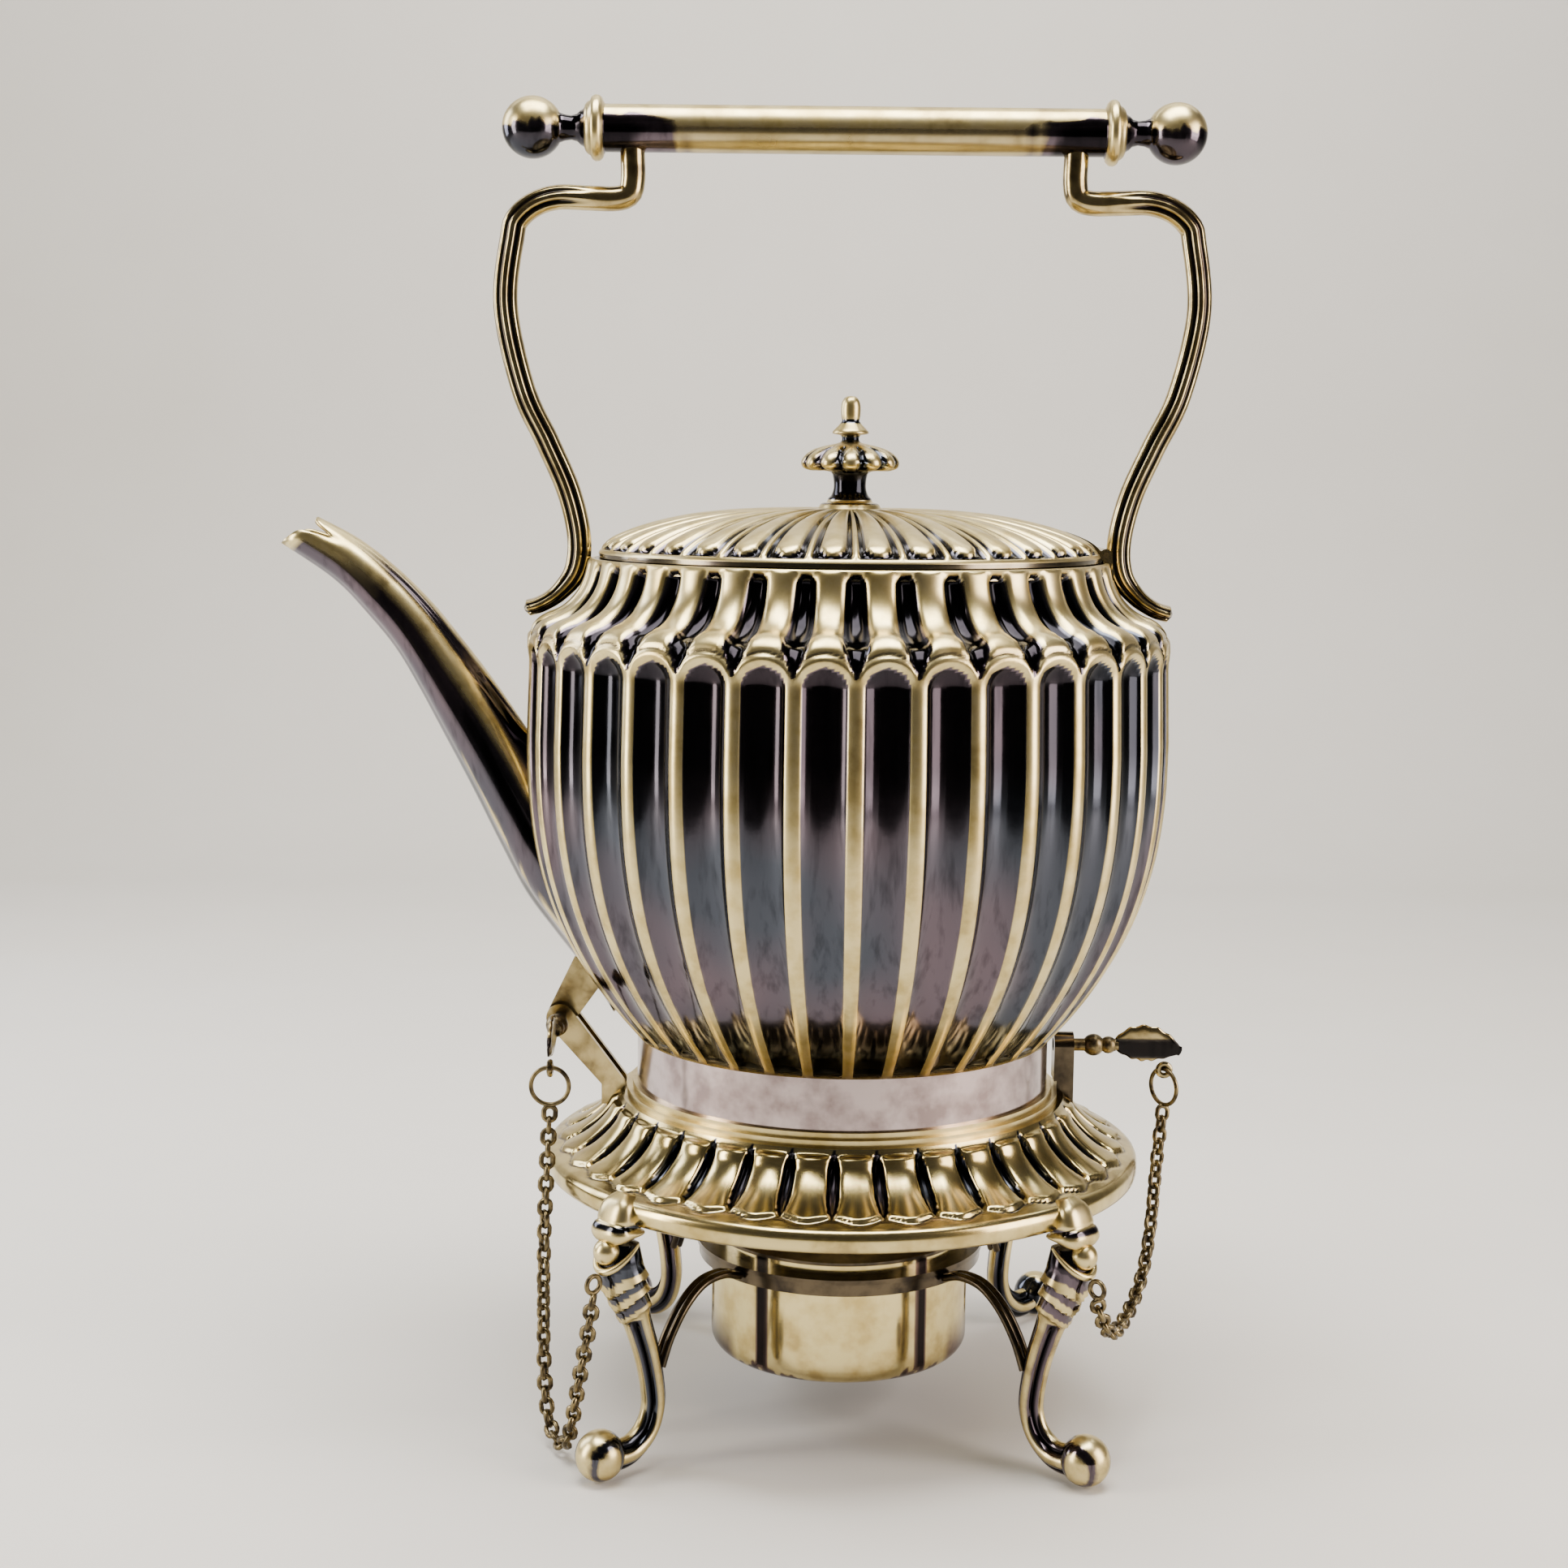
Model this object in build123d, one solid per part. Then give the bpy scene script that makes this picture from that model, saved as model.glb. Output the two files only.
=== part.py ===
from build123d import *
import math
import os

# Spirit kettle on its stand: a fluted kettle with a hinged lid and a fixed swan-neck handle, hinged at
# the spout side to a four-legged stand that carries a spirit burner. Millimetres, +Z up, floor at z = 0.
# The kettle's own axis is x = y = 0 while modelling; the finished pieces are then moved along X so that
# the origin lies under the middle of the whole object. The spout points along -X.

# ---------------------------------------------------------------- heights above the floor
BURNER_BOTTOM_Z = 13.7
CRADLE_TOP_Z = 41.0
SKIRT_EDGE_Z = 66.0
SKIRT_TOP_Z = 80.8
SEAT_Z = 83.7
BOWL_BOTTOM_Z = 96.5
BELLY_Z = 171.7
SHOULDER_Z = 200.0
NECK_Z = 215.0
BAR_Z = 318.5

# ---------------------------------------------------------------- making
CUT_PAST = 5.0
FAR = 120.0
BEND_SHARE = 0.45

# ---------------------------------------------------------------- kettle body
SHEET = 1.2
BELLY_R = 80.0
SHOULDER_R = 79.0
NECK_R = 63.9
BOWL_FOOT_R = 52.6
BOWL_CURVE = 2.6
BOWL_STEPS = 6
NECK_BORE_R = 60.6
NECK_RIM_HEIGHT = 2.4
FOOT_RING_R = 52.0
FOOT_RING_SHEET = 1.3
FOOT_HOLE_ROOM = 0.3

# ---------------------------------------------------------------- flutes of the bowl and shoulder
FLUTE_COUNT = 36
FLUTE_SHARE = 0.75
FLUTE_R = 6.4
FLUTE_HEAD_Z = 189.4
FLUTE_STEPS = 7
LEAF_R = 3.6
LEAF_STAND_OFF = 1.6
LEAF_NOTCH_Z = 191.5
LEAF_NOTCH_OUT = 3.75
LEAF_EDGE_OUT = 2.1
LEAF_EDGE_DROP = 2.6
LEAF_ANGLES = [12.0, 32.0, 52.0, 70.0]

# ---------------------------------------------------------------- spout
SPOUT_SHEET = 1.0
SPOUT_TIP_OUT = 61.2
SPOUT_TIP_Z = 215.7
SPOUT_LIP_OUT = 52.4
SPOUT_LIP_Z = 222.9
SPOUT_LIP_WIDTH = 9.6
SPOUT_STATIONS = [(-22.0, 123.0, 17.0), (-4.0, 147.5, 12.6), (15.1, 176.8, 9.4), (27.6, 195.2, 7.5),
                  (42.4, 211.6, 6.0)]
STRAINER_HOLE_R = 1.6
STRAINER_PITCH = 5.2
STRAINER_ROWS = 6
STRAINER_COLUMNS = 3
STRAINER_Z = 131.0
STRAINER_REACH = 22.0

# ---------------------------------------------------------------- handle
ARM_R = 2.5
POST_X = 53.7
CRANK_Z = 301.8
CRANK_BEND_R = 3.2
CRANK_LIFT = 0.6
CRANK_END_X = 72.5
SWAN_NECK = [(83.6, 293.0), (86.2, 274.0), (80.0, 254.0), (69.0, 234.0)]
ARM_FOOT_X = 66.4
ARM_SINK = 0.6
ARM_FOOT_DROP = 1.6
ARM_END_REACH = 1.2
GRIP_R = 5.7
GRIP_SHEET = 1.0
GRIP_HALF = 61.4
COLLAR_R = 7.9
COLLAR_WIDTH = 3.9
COLLAR_PLUG = 4.0
COLLAR_CHAMFER = 1.0
KNOB_NECK_R = 2.9
KNOB_FLARE = 1.4
KNOB_FLARE_WIDTH = 1.2
KNOB_R = 7.5
KNOB_X = 78.0
GRIP_ROD_R = 1.6
GRIP_ROD_HALF = 76.0

# ---------------------------------------------------------------- lid
LID_R = 61.9
LID_EDGE = 1.2
LID_RISE = 11.4
LID_EDGE_CURVE = 0.8
LID_DOME_CURVE = 1.3
LID_STEPS = 6
LID_SHEET = 1.0
BEZEL_R = 59.6
BEZEL_DEPTH = 6.0
BEZEL_SHEET = 1.0
BEZEL_FLANGE_IN = 1.6
BEZEL_FLANGE_SHEET = 0.8
LID_HINGE_X = 62.6
LID_HINGE_Z = NECK_Z + 2.0
LID_BARREL_R = 1.5
LID_PIN_R = 0.7
LID_KNUCKLE = 5.6
LID_KNUCKLES_HALF = 8.4
KNUCKLE_GAP = 0.3
LEAF_SHEET = 0.8
LEAF_REACH = 9.0
LEAF_LIFT = 0.6
LUG_SINK = 0.6
LUG_THICK = 2.1
LUG_DROP = 3.0
BRIDGE_OUT = 2.1
BRIDGE_TOP = 1.4
BRIDGE_DROP = 4.2

# ---------------------------------------------------------------- finial on the lid
FINIAL_BASE_R = 7.3
FINIAL_BASE_HEIGHT = 2.2
FINIAL_BASE_STEP = 0.6
FINIAL_BASE_TOP_R = 5.4
FINIAL_WAIST_R = 3.6
FINIAL_WAIST_RISE = 1.6
FINIAL_FLARE = 1.0
FINIAL_FLARE_HEIGHT = 2.4
FINIAL_CAP_Z = 10.0
FINIAL_CAP_R = 12.0
FINIAL_CAP_HEIGHT = 6.0
FINIAL_CAP_EDGE_LOW = 0.8
FINIAL_CAP_EDGE_HIGH = 1.8
FINIAL_CAP_SHARE = 0.7
FINIAL_CAP_KNEE = 4.2
FINIAL_CAP_TOP_R = 2.2
FINIAL_STEM_R = 2.0
FINIAL_TOP_NECK_R = 1.0
FINIAL_DISC_R = 3.9
FINIAL_DISC_UNDER = 1.2
FINIAL_DISC_OVER = 1.4
FINIAL_DISC_Z = 19.0
FINIAL_TIP_R = 2.0
FINIAL_TIP_Z = 25.5
FINIAL_STUD_R = 1.2
FINIAL_NUT_R = 3.6
FINIAL_NUT_HEIGHT = 2.4

# ---------------------------------------------------------------- stand
SKIRT_SHEET = 1.2
SKIRT_TOP_R = 56.2
SKIRT_EDGE_R = 75.1
SKIRT_HOLLOW_OUT = 0.38
SKIRT_HOLLOW_DOWN = 0.64
STAND_BORE_R = 47.5
SEAT_STEP_R = 54.6
SEAT_R = 53.2
SEAT_LIP_R = 49.0
SEAT_LIP_HEIGHT = 1.2
RIM_WIDTH = 1.8
RIM_DROP = 4.2
RIM_RISE = 1.2
LEG_COUNT = 4
LEG_FIRST_ANGLE = 45.0
LEG_TOP_R = 71.0
LEG_TOP_RISE = 2.0
LEG_TOP_THICK = 5.4
LEG_SINK = 0.2
KNEE_R = 75.5
KNEE_Z = 52.5
CALF_R = 69.0
CALF_Z = 44.0
SHAFT_R = 65.0
SHAFT_Z = 36.0
ANKLE_R = 61.5
ANKLE_Z = 21.0
HEEL_R = 66.5
HEEL_Z = 9.5
TOE_R = 80.5
TOE_Z = 5.9
TOE_BALL_R = 6.3
TOE_IN = 3.0
TOE_LIFT = 0.4
TOE_SHARE = 0.75
KNEE_THICK = 6.2
CALF_THICK = 4.8
SHAFT_THICK = 3.6
ANKLE_THICK = 3.1
HEEL_THICK = 3.5
CRADLE_R = 36.0
CRADLE_BORE_R = 33.3
CRADLE_HEIGHT = 3.0
STRUT_WIDTH = 4.0
STRUT_THICK = 2.0
STRUT_FOOT_Z = 23.0
STRUT_RISE = 4.5

# ---------------------------------------------------------------- tilting hinge at the spout side
TILT_X = -71.5
TILT_Z = 99.0
CHEEK_R = 3.5
CHEEK_SHEET = 1.8
LUG_WIDTH = 3.8
LUG_SIDE_GAP = 0.3
LUG_TOP_Z = 115.0
LUG_TOP_X = -62.0
LUG_ROOT_THICK = 1.6
BRACKET_ROOT_X = -57.5
BRACKET_ROOT_RISE = 1.0
BRACKET_ROOT_NARROW = 1.0
BRACKET_FOOT_OUT = 3.5
BRACKET_FOOT_IN = 2.2
BRACKET_FOOT_HIGH = 1.6
BRACKET_FOOT_LOW = 4.0

# ---------------------------------------------------------------- locking barrel at the handle side
LOCK_Z = 92.5
LOCK_BARREL_R = 3.3
LOCK_BARREL_X = 53.8
LOCK_BARREL_LENGTH = 5.0
LOCK_TIP_X = 54.4
LOCK_SHOULDER_X = 61.8
LOCK_POST_LOW = 4.0

# ---------------------------------------------------------------- pull pins, the same for both
PIN_R = 1.6
PIN_CLEARANCE = 0.06
PIN_BEAD_R = 2.8
PIN_SMALL_BEAD_R = 2.2
PIN_BEAD_SEAT = 0.8
PIN_BEAD_WIDTH = 1.6
PIN_SMALL_BEAD_SINK = 0.7
PIN_SMALL_BEAD_WIDTH = 1.4
THUMB_LENGTH = 17.0
THUMB_HEIGHT = 10.0
THUMB_THICK = 2.4
TAB_R = 2.4
TAB_THICK = 1.0
TAB_HOLE_R = 1.35
TAB_NECK = 2.0
TAB_HOLE_DROP = 0.3
TAB_DROP = 6.2
TAB_SHARE = 0.76
RING_R = 4.6
RING_WIRE_R = 0.55
LOCK_RING_TURN = 35.0
TILT_PIN_TIP_Y = 6.4
TILT_PIN_SHOULDER_Y = -9.5

# ---------------------------------------------------------------- safety chains
CHAIN_WIDTH = 3.4
CHAIN_GAP = 0.2
EYE_R = 2.0
EYE_WIRE_R = 0.6
EYE_STAND_OFF = 0.6
EYE_DROP = 4.0
TILT_CHAIN = [(-72.5, -31.0, 64.0), (-72.9, -32.3, 46.0), (-72.9, -33.3, 30.0), (-72.7, -34.0, 18.6),
              (-72.2, -34.6, 9.5), (-70.9, -37.2, 4.6), (-68.4, -42.0, 2.6), (-66.0, -46.8, 4.6),
              (-64.7, -49.4, 9.5), (-63.4, -51.6, 17.6), (-61.6, -54.6, 28.0), (-59.8, -57.2, 37.6)]
LOCK_CHAIN = [(80.4, -3.0, 62.0), (78.6, -10.0, 48.5), (74.6, -23.0, 38.0), (67.4, -40.0, 32.6),
              (61.6, -54.0, 35.4)]

# ---------------------------------------------------------------- burner
CUP_R = 32.8
CUP_SHEET = 0.8
CUP_TOP_Z = 44.5
CUP_CORNER_R = 4.0
FLANGE_R = 36.6
FLANGE_THICK = 1.2
COVER_RISE = 4.5
COLLAR_BORE_R = 7.2
WICK_TUBE_SINK = 6.0
WICK_COLLAR_R = 10.0
WICK_COLLAR_HEIGHT = 3.0
WICK_TUBE_R = 7.0
WICK_TUBE_SHEET = 0.8
WICK_TUBE_TOP_Z = 62.0
WICK_TOP_Z = 64.5
WICK_BOTTOM_Z = 24.0


# ================================================================ helpers
def turned(outline):
    """Turn a closed (radius, height) outline once round the kettle's axis."""
    return revolve(Plane.XZ * make_face(outline), Axis.Z)


def straight(*points):
    """A closed outline of straight lines through (radius, height) points."""
    return Polyline(*points, close=True)


def ring(outer_r, inner_r, low_z, high_z):
    """A plain round band."""
    return turned(straight((inner_r, low_z), (outer_r, low_z), (outer_r, high_z), (inner_r, high_z)))


def rod(start, end, radius):
    """A round rod between two points."""
    start, end = Vector(*start), Vector(*end)
    return extrude(Plane(origin=start, z_dir=end - start) * Circle(radius), (end - start).length)


def ball(centre, radius):
    """A ball at a point."""
    return Pos(*centre) * Sphere(radius)


def block(low, high):
    """A box between two opposite corners."""
    size = [b - a for a, b in zip(low, high)]
    middle = [(a + b) / 2 for a, b in zip(low, high)]
    return Pos(*middle) * Box(*size)


def inset(points, wall):
    """The line that lies one wall inside a (radius, height) line that is walked upwards."""
    result = []
    for i, (r, z) in enumerate(points):
        before, after = points[max(i - 1, 0)], points[min(i + 1, len(points) - 1)]
        run, rise = after[0] - before[0], after[1] - before[1]
        long = math.hypot(run, rise)
        result.append((r - wall * rise / long, z + wall * run / long))
    return result


def bend_radii(points, first=None):
    """One radius for each corner of a route: as large as its two runs allow."""
    radii = []
    for a, b, c in zip(points, points[1:], points[2:]):
        into, out = Vector(*b) - Vector(*a), Vector(*c) - Vector(*b)
        turn = math.radians(into.get_angle(out))
        radii.append(BEND_SHARE * min(into.length, out.length) / math.tan(turn / 2))
    if first is not None:
        radii[0] = first
    return radii


def tube_along(points, radius, first=None):
    """A round tube along straight runs joined by tangent arcs."""
    path = FilletPolyline(*points, radius=bend_radii(points, first))
    return sweep(Plane(origin=path @ 0, z_dir=path % 0) * Circle(radius), path=path), path


def link_plate(near, near_r, far, far_r, low_y, high_y):
    """An upright plate with two round ends about two (x, z) points."""
    outline = make_hull([(Pos(*near) * Circle(near_r)).edge(), (Pos(*far) * Circle(far_r)).edge()])
    return Pos(0, high_y, 0) * extrude(Plane.XZ * outline, high_y - low_y)


def at_angle(piece, angle):
    """The piece turned round the kettle's axis."""
    return Rot(0, 0, angle) * piece


# ================================================================ kettle body
def body_radius(z):
    """The plain outer radius of bowl and belly at a height."""
    if z > BELLY_Z:
        return BELLY_R + (SHOULDER_R - BELLY_R) * (z - BELLY_Z) / (SHOULDER_Z - BELLY_Z)
    t = (z - BOWL_BOTTOM_Z) / (BELLY_Z - BOWL_BOTTOM_Z)
    return BOWL_FOOT_R + (BELLY_R - BOWL_FOOT_R) * (1 - (1 - t) ** BOWL_CURVE)


def bowl_line():
    """The bowl's outer line from the foot to the widest place, bottom first."""
    heights = [BOWL_BOTTOM_Z + (BELLY_Z - BOWL_BOTTOM_Z) * i / BOWL_STEPS for i in range(BOWL_STEPS + 1)]
    return [(body_radius(z), z) for z in heights]


def shoulder_arc(gap=0.0):
    """The hollow shoulder between belly and neck, a gap outside the sheet: start, middle and end."""
    reach, drop = SHOULDER_R - NECK_R, NECK_Z - SHOULDER_Z
    mid = math.sqrt(0.5)
    return [(SHOULDER_R, SHOULDER_Z + gap),
            (SHOULDER_R - (reach - gap) * mid, NECK_Z - (drop - gap) * mid),
            (NECK_R + gap, NECK_Z)]


def shoulder_inner():
    """The shoulder's inner line, from the corner under its edge: start, middle and end."""
    arc = shoulder_arc(-SHEET)
    drop = NECK_Z - SHOULDER_Z + SHEET
    return [(SHOULDER_R - SHEET, NECK_Z - math.sqrt(drop ** 2 - SHEET ** 2))] + arc[1:]


def body_outside():
    """The whole kettle's plain outer shape as one full solid, up to the neck."""
    low, arc = bowl_line(), shoulder_arc()
    return turned([Line((0, BOWL_BOTTOM_Z), low[0]), Spline(low), Line(low[-1], arc[0]),
                   ThreePointArc(*arc), Line(arc[2], (0, NECK_Z)), Line((0, NECK_Z), (0, BOWL_BOTTOM_Z))])


def body_inside():
    """The space inside the kettle's sheet."""
    low = [(r, max(z, BOWL_BOTTOM_Z + SHEET)) for r, z in inset(bowl_line(), SHEET)]
    arc = shoulder_inner()
    base = (0, BOWL_BOTTOM_Z + SHEET)
    return turned([Line(base, low[0]), Spline(low), Line(low[-1], arc[0]), ThreePointArc(*arc),
                   Line(arc[2], (0, NECK_Z)), Line((0, NECK_Z), base)])


def flute_path():
    """Middle line of a flute's cutter, which stands off the bowl by what leaves the flute its width."""
    line = []
    for i in range(FLUTE_STEPS + 1):
        z = BOWL_BOTTOM_Z + (FLUTE_HEAD_Z - BOWL_BOTTOM_Z) * i / FLUTE_STEPS
        half = FLUTE_SHARE * math.pi * body_radius(z) / FLUTE_COUNT
        line.append((body_radius(z), z, math.sqrt(FLUTE_R ** 2 - half ** 2)))
    stood_off = []
    for i, (r, z, off) in enumerate(line):
        before, after = line[max(i - 1, 0)], line[min(i + 1, FLUTE_STEPS)]
        run, rise = after[0] - before[0], after[1] - before[1]
        long = math.hypot(run, rise)
        stood_off.append((r + off * rise / long, z - off * run / long))
    (r0, z0), (r1, z1) = stood_off[0], stood_off[1]
    share = CUT_PAST / math.hypot(r1 - r0, z1 - z0)
    return [(r0 + (r0 - r1) * share, z0 + (z0 - z1) * share)] + stood_off


def leaf_path():
    """Middle line of a leaf's cutter, from the notch between two flutes up over the shoulder."""
    reach, drop = SHOULDER_R - NECK_R - LEAF_STAND_OFF, NECK_Z - SHOULDER_Z - LEAF_STAND_OFF
    line = [(SHOULDER_R + LEAF_NOTCH_OUT, LEAF_NOTCH_Z),
            (SHOULDER_R + LEAF_EDGE_OUT, SHOULDER_Z - LEAF_EDGE_DROP)]
    for angle in LEAF_ANGLES:
        turn = math.radians(angle)
        line.append((SHOULDER_R - reach * math.sin(turn), NECK_Z - drop * math.cos(turn)))
    return line


def round_cutter(line, radius):
    """A round bar along a (radius, height) line, with a ball at its upper end."""
    path = Plane.XZ * Spline(line)
    bar = sweep(Plane(origin=path @ 0, z_dir=path % 0) * Circle(radius), path=path)
    return bar + ball((line[-1][0], 0, line[-1][1]), radius)


def flute_cutters(wall):
    """Cutters for every flute and leaf, one wall larger: flutes between the ridges, leaves above them."""
    flute, leaf = round_cutter(flute_path(), FLUTE_R + wall), round_cutter(leaf_path(), LEAF_R + wall)
    pitch = 360 / FLUTE_COUNT
    flutes = [at_angle(flute, (i + 0.5) * pitch) for i in range(FLUTE_COUNT)]
    leaves = [at_angle(leaf, i * pitch) for i in range(FLUTE_COUNT) if i % (FLUTE_COUNT // 2)]
    return flutes + leaves


def strainer_holes():
    """Pierced holes through the sheet behind the spout's root."""
    holes = []
    for row in range(STRAINER_ROWS):
        for column in range(STRAINER_COLUMNS):
            y = (column - (STRAINER_COLUMNS - 1) / 2) * STRAINER_PITCH
            z = STRAINER_Z + row * STRAINER_PITCH
            holes.append(rod((-BELLY_R - CUT_PAST, y, z), (STRAINER_REACH - BELLY_R, y, z), STRAINER_HOLE_R))
    return holes


def fluted_outside():
    """The kettle's outer shape as one full solid, with its flutes."""
    return body_outside() - flute_cutters(0)


def kettle_body(outside):
    """Bowl, belly and shoulder: one thin fluted shell, open at the neck."""
    inside = body_inside() - flute_cutters(SHEET)
    return outside - inside - strainer_holes()


def neck_rim(body):
    """The stiff ring inside the neck that the lid lies on, fitted to the fluted shell."""
    return ring(NECK_R - SHEET, NECK_BORE_R, NECK_Z - NECK_RIM_HEIGHT, NECK_Z) - body


def kettle_foot_ring():
    """The plain band under the bowl, with the hole that the locking pin enters."""
    band = ring(FOOT_RING_R, FOOT_RING_R - FOOT_RING_SHEET, SEAT_Z, BOWL_BOTTOM_Z)
    hole = rod((FOOT_RING_R - CUT_PAST, 0, LOCK_Z), (FOOT_RING_R + CUT_PAST, 0, LOCK_Z),
               PIN_R + FOOT_HOLE_ROOM)
    return band - hole


# ================================================================ spout
def spout_stations():
    """Middle line of the spout from root to beak: x, z, and half width."""
    return [(-BELLY_R - out, z, half) for out, z, half in SPOUT_STATIONS]


def spout_solid(wall):
    """The spout as a full solid, its surface one wall inside the outer one."""
    stations = spout_stations()
    tip, lip = (-BELLY_R - SPOUT_TIP_OUT, SPOUT_TIP_Z), (-BELLY_R - SPOUT_LIP_OUT, SPOUT_LIP_Z)
    sections = []
    for i, (x, z, half) in enumerate(stations):
        before = stations[max(i - 1, 0)]
        after = stations[i + 1] if i + 1 < len(stations) else tip
        run = Vector(after[0] - before[0], 0, after[1] - before[1])
        sections.append(Plane(origin=(x, 0, z), x_dir=(0, 1, 0), z_dir=run) * Circle(half - wall))
    slope = Vector(tip[0] - lip[0], 0, tip[1] - lip[1])
    mouth = Plane(origin=((tip[0] + lip[0]) / 2, 0, (tip[1] + lip[1]) / 2),
                  x_dir=(0, 1, 0), z_dir=(slope.Z, 0, -slope.X))
    sections.append(mouth * Ellipse(SPOUT_LIP_WIDTH / 2 - wall, slope.length / 2 - wall))
    return loft(sections)


def spout(outside):
    """The hollow spout, cut to the fluted belly at its root."""
    return spout_solid(0) - spout_solid(SPOUT_SHEET) - outside


# ================================================================ handle
def arm_route():
    """The swan-neck arm of the handle side, from the grip down to the shoulder."""
    arc = shoulder_arc(ARM_R)
    crank = [(POST_X, BAR_Z), (POST_X, CRANK_Z), (CRANK_END_X, CRANK_Z + CRANK_LIFT)]
    foot = [(ARM_FOOT_X, NECK_Z), (arc[1][0] - ARM_SINK, arc[1][1] - ARM_FOOT_DROP),
            (SHOULDER_R + ARM_END_REACH, SHOULDER_Z + ARM_R - ARM_SINK)]
    return [(x, 0, z) for x, z in crank + SWAN_NECK + foot]


def handle_arm(side, outside):
    """One arm, from the grip's underside to the shoulder that it is soldered to."""
    arm, _ = tube_along(arm_route(), ARM_R, CRANK_BEND_R)
    grip = rod((-GRIP_HALF, 0, BAR_Z), (GRIP_HALF, 0, BAR_Z), GRIP_R)
    arm = arm - grip - outside
    arm = max(arm.solids(), key=lambda s: s.volume)
    return arm if side > 0 else mirror(arm, about=Plane.YZ)


def grip_tube():
    """The hollow grip, drilled at its ends for nothing but the collars."""
    start, end = (-GRIP_HALF, 0, BAR_Z), (GRIP_HALF, 0, BAR_Z)
    return rod(start, end, GRIP_R) - rod(start, end, GRIP_R - GRIP_SHEET)


def grip_rod():
    """The rod that ties both knobs together through the grip."""
    return rod((-GRIP_ROD_HALF, 0, BAR_Z), (GRIP_ROD_HALF, 0, BAR_Z), GRIP_ROD_R)


def on_bar(outline, side):
    """Turn an outline of (radius, distance from the middle) round the grip's axis."""
    piece = revolve(Plane.XZ * make_face(outline), Axis.Z)
    return Pos(0, 0, BAR_Z) * Rot(0, 90 * side, 0) * piece


def grip_collar(side):
    """A turned collar that closes the grip's end, with a plug inside the tube."""
    x = GRIP_HALF
    return on_bar(straight((GRIP_ROD_R, x - COLLAR_PLUG), (GRIP_R - GRIP_SHEET, x - COLLAR_PLUG),
                           (GRIP_R - GRIP_SHEET, x), (COLLAR_R - COLLAR_CHAMFER, x),
                           (COLLAR_R, x + COLLAR_CHAMFER), (COLLAR_R, x + COLLAR_WIDTH - COLLAR_CHAMFER),
                           (COLLAR_R - COLLAR_CHAMFER, x + COLLAR_WIDTH),
                           (GRIP_ROD_R, x + COLLAR_WIDTH)), side)


def grip_knob(side):
    """The ball end with its hollow neck, screwed on the rod."""
    start = GRIP_HALF + COLLAR_WIDTH
    meet = KNOB_X - math.sqrt(KNOB_R ** 2 - KNOB_NECK_R ** 2)
    flare = start + KNOB_FLARE_WIDTH
    body = on_bar(straight((0, start), (KNOB_NECK_R + KNOB_FLARE, start), (KNOB_NECK_R + KNOB_FLARE, flare),
                           (KNOB_NECK_R, flare + COLLAR_CHAMFER), (KNOB_NECK_R, meet), (0, KNOB_X)), side)
    bore = rod((0, 0, BAR_Z), (side * GRIP_ROD_HALF, 0, BAR_Z), GRIP_ROD_R)
    return body + ball((side * KNOB_X, 0, BAR_Z), KNOB_R) - bore


# ================================================================ lid
def lid_line(lift=0.0):
    """The dome's outer line from its edge to the middle, lifted off it by a small amount."""
    top = NECK_Z + LID_EDGE
    line = []
    for i in range(LID_STEPS + 1):
        t = math.radians(90 * i / LID_STEPS)
        line.append(((LID_R + lift) * math.cos(t) ** LID_EDGE_CURVE if i < LID_STEPS else 0.0,
                     top + lift + LID_RISE * math.sin(t) ** LID_DOME_CURVE))
    return line


def lid_solid(lift=0.0):
    """Everything under the dome's line, down to the neck."""
    line = lid_line(lift)
    return turned([Line((0, NECK_Z), (line[0][0], NECK_Z)), Line((line[0][0], NECK_Z), line[0]),
                   Spline(line), Line(line[-1], (0, NECK_Z))])


def lid_dome():
    """The thin dome, notched at its edge for the hinge barrel."""
    dome = lid_solid() - lid_solid(-LID_SHEET)
    dome = dome - rod((0, 0, NECK_Z), (0, 0, finial_floor() + LID_SHEET), FINIAL_STUD_R)
    room = LID_BARREL_R + KNUCKLE_GAP
    notch = block((LID_HINGE_X - room, -LID_KNUCKLES_HALF - KNUCKLE_GAP, NECK_Z - CUT_PAST),
                  (LID_R + CUT_PAST, LID_KNUCKLES_HALF + KNUCKLE_GAP, NECK_Z + LID_RISE))
    return dome - notch


def lid_bezel():
    """The band under the dome that centres the lid in the neck."""
    top = NECK_Z
    flange, over = LID_R - BEZEL_FLANGE_IN, top + BEZEL_FLANGE_SHEET
    shape = turned(straight((BEZEL_R, top - BEZEL_DEPTH), (BEZEL_R, top), (flange, top),
                            (flange, over), (BEZEL_R - BEZEL_SHEET, over),
                            (BEZEL_R - BEZEL_SHEET, top - BEZEL_DEPTH)))
    return shape & lid_room()


def lid_room():
    """The space inside the dome and below it."""
    return lid_solid(-LID_SHEET) + ring(LID_R, FINIAL_STUD_R, NECK_Z - BEZEL_DEPTH, NECK_Z)


def lid_hinge_flap():
    """The moving leaf on the dome with the middle knuckle."""
    half = LID_KNUCKLE / 2
    layer = lid_solid(LEAF_SHEET) - lid_solid()
    leaf = layer & block((LID_HINGE_X - LEAF_REACH, -half, NECK_Z + LEAF_LIFT),
                         (LID_HINGE_X, half, NECK_Z + LID_RISE))
    knuckle = rod((LID_HINGE_X, -half, LID_HINGE_Z), (LID_HINGE_X, half, LID_HINGE_Z), LID_BARREL_R)
    bore = rod((LID_HINGE_X, -half - CUT_PAST, LID_HINGE_Z), (LID_HINGE_X, half + CUT_PAST, LID_HINGE_Z),
               LID_PIN_R + PIN_CLEARANCE)
    return leaf + knuckle - bore - lid_solid()


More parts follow.
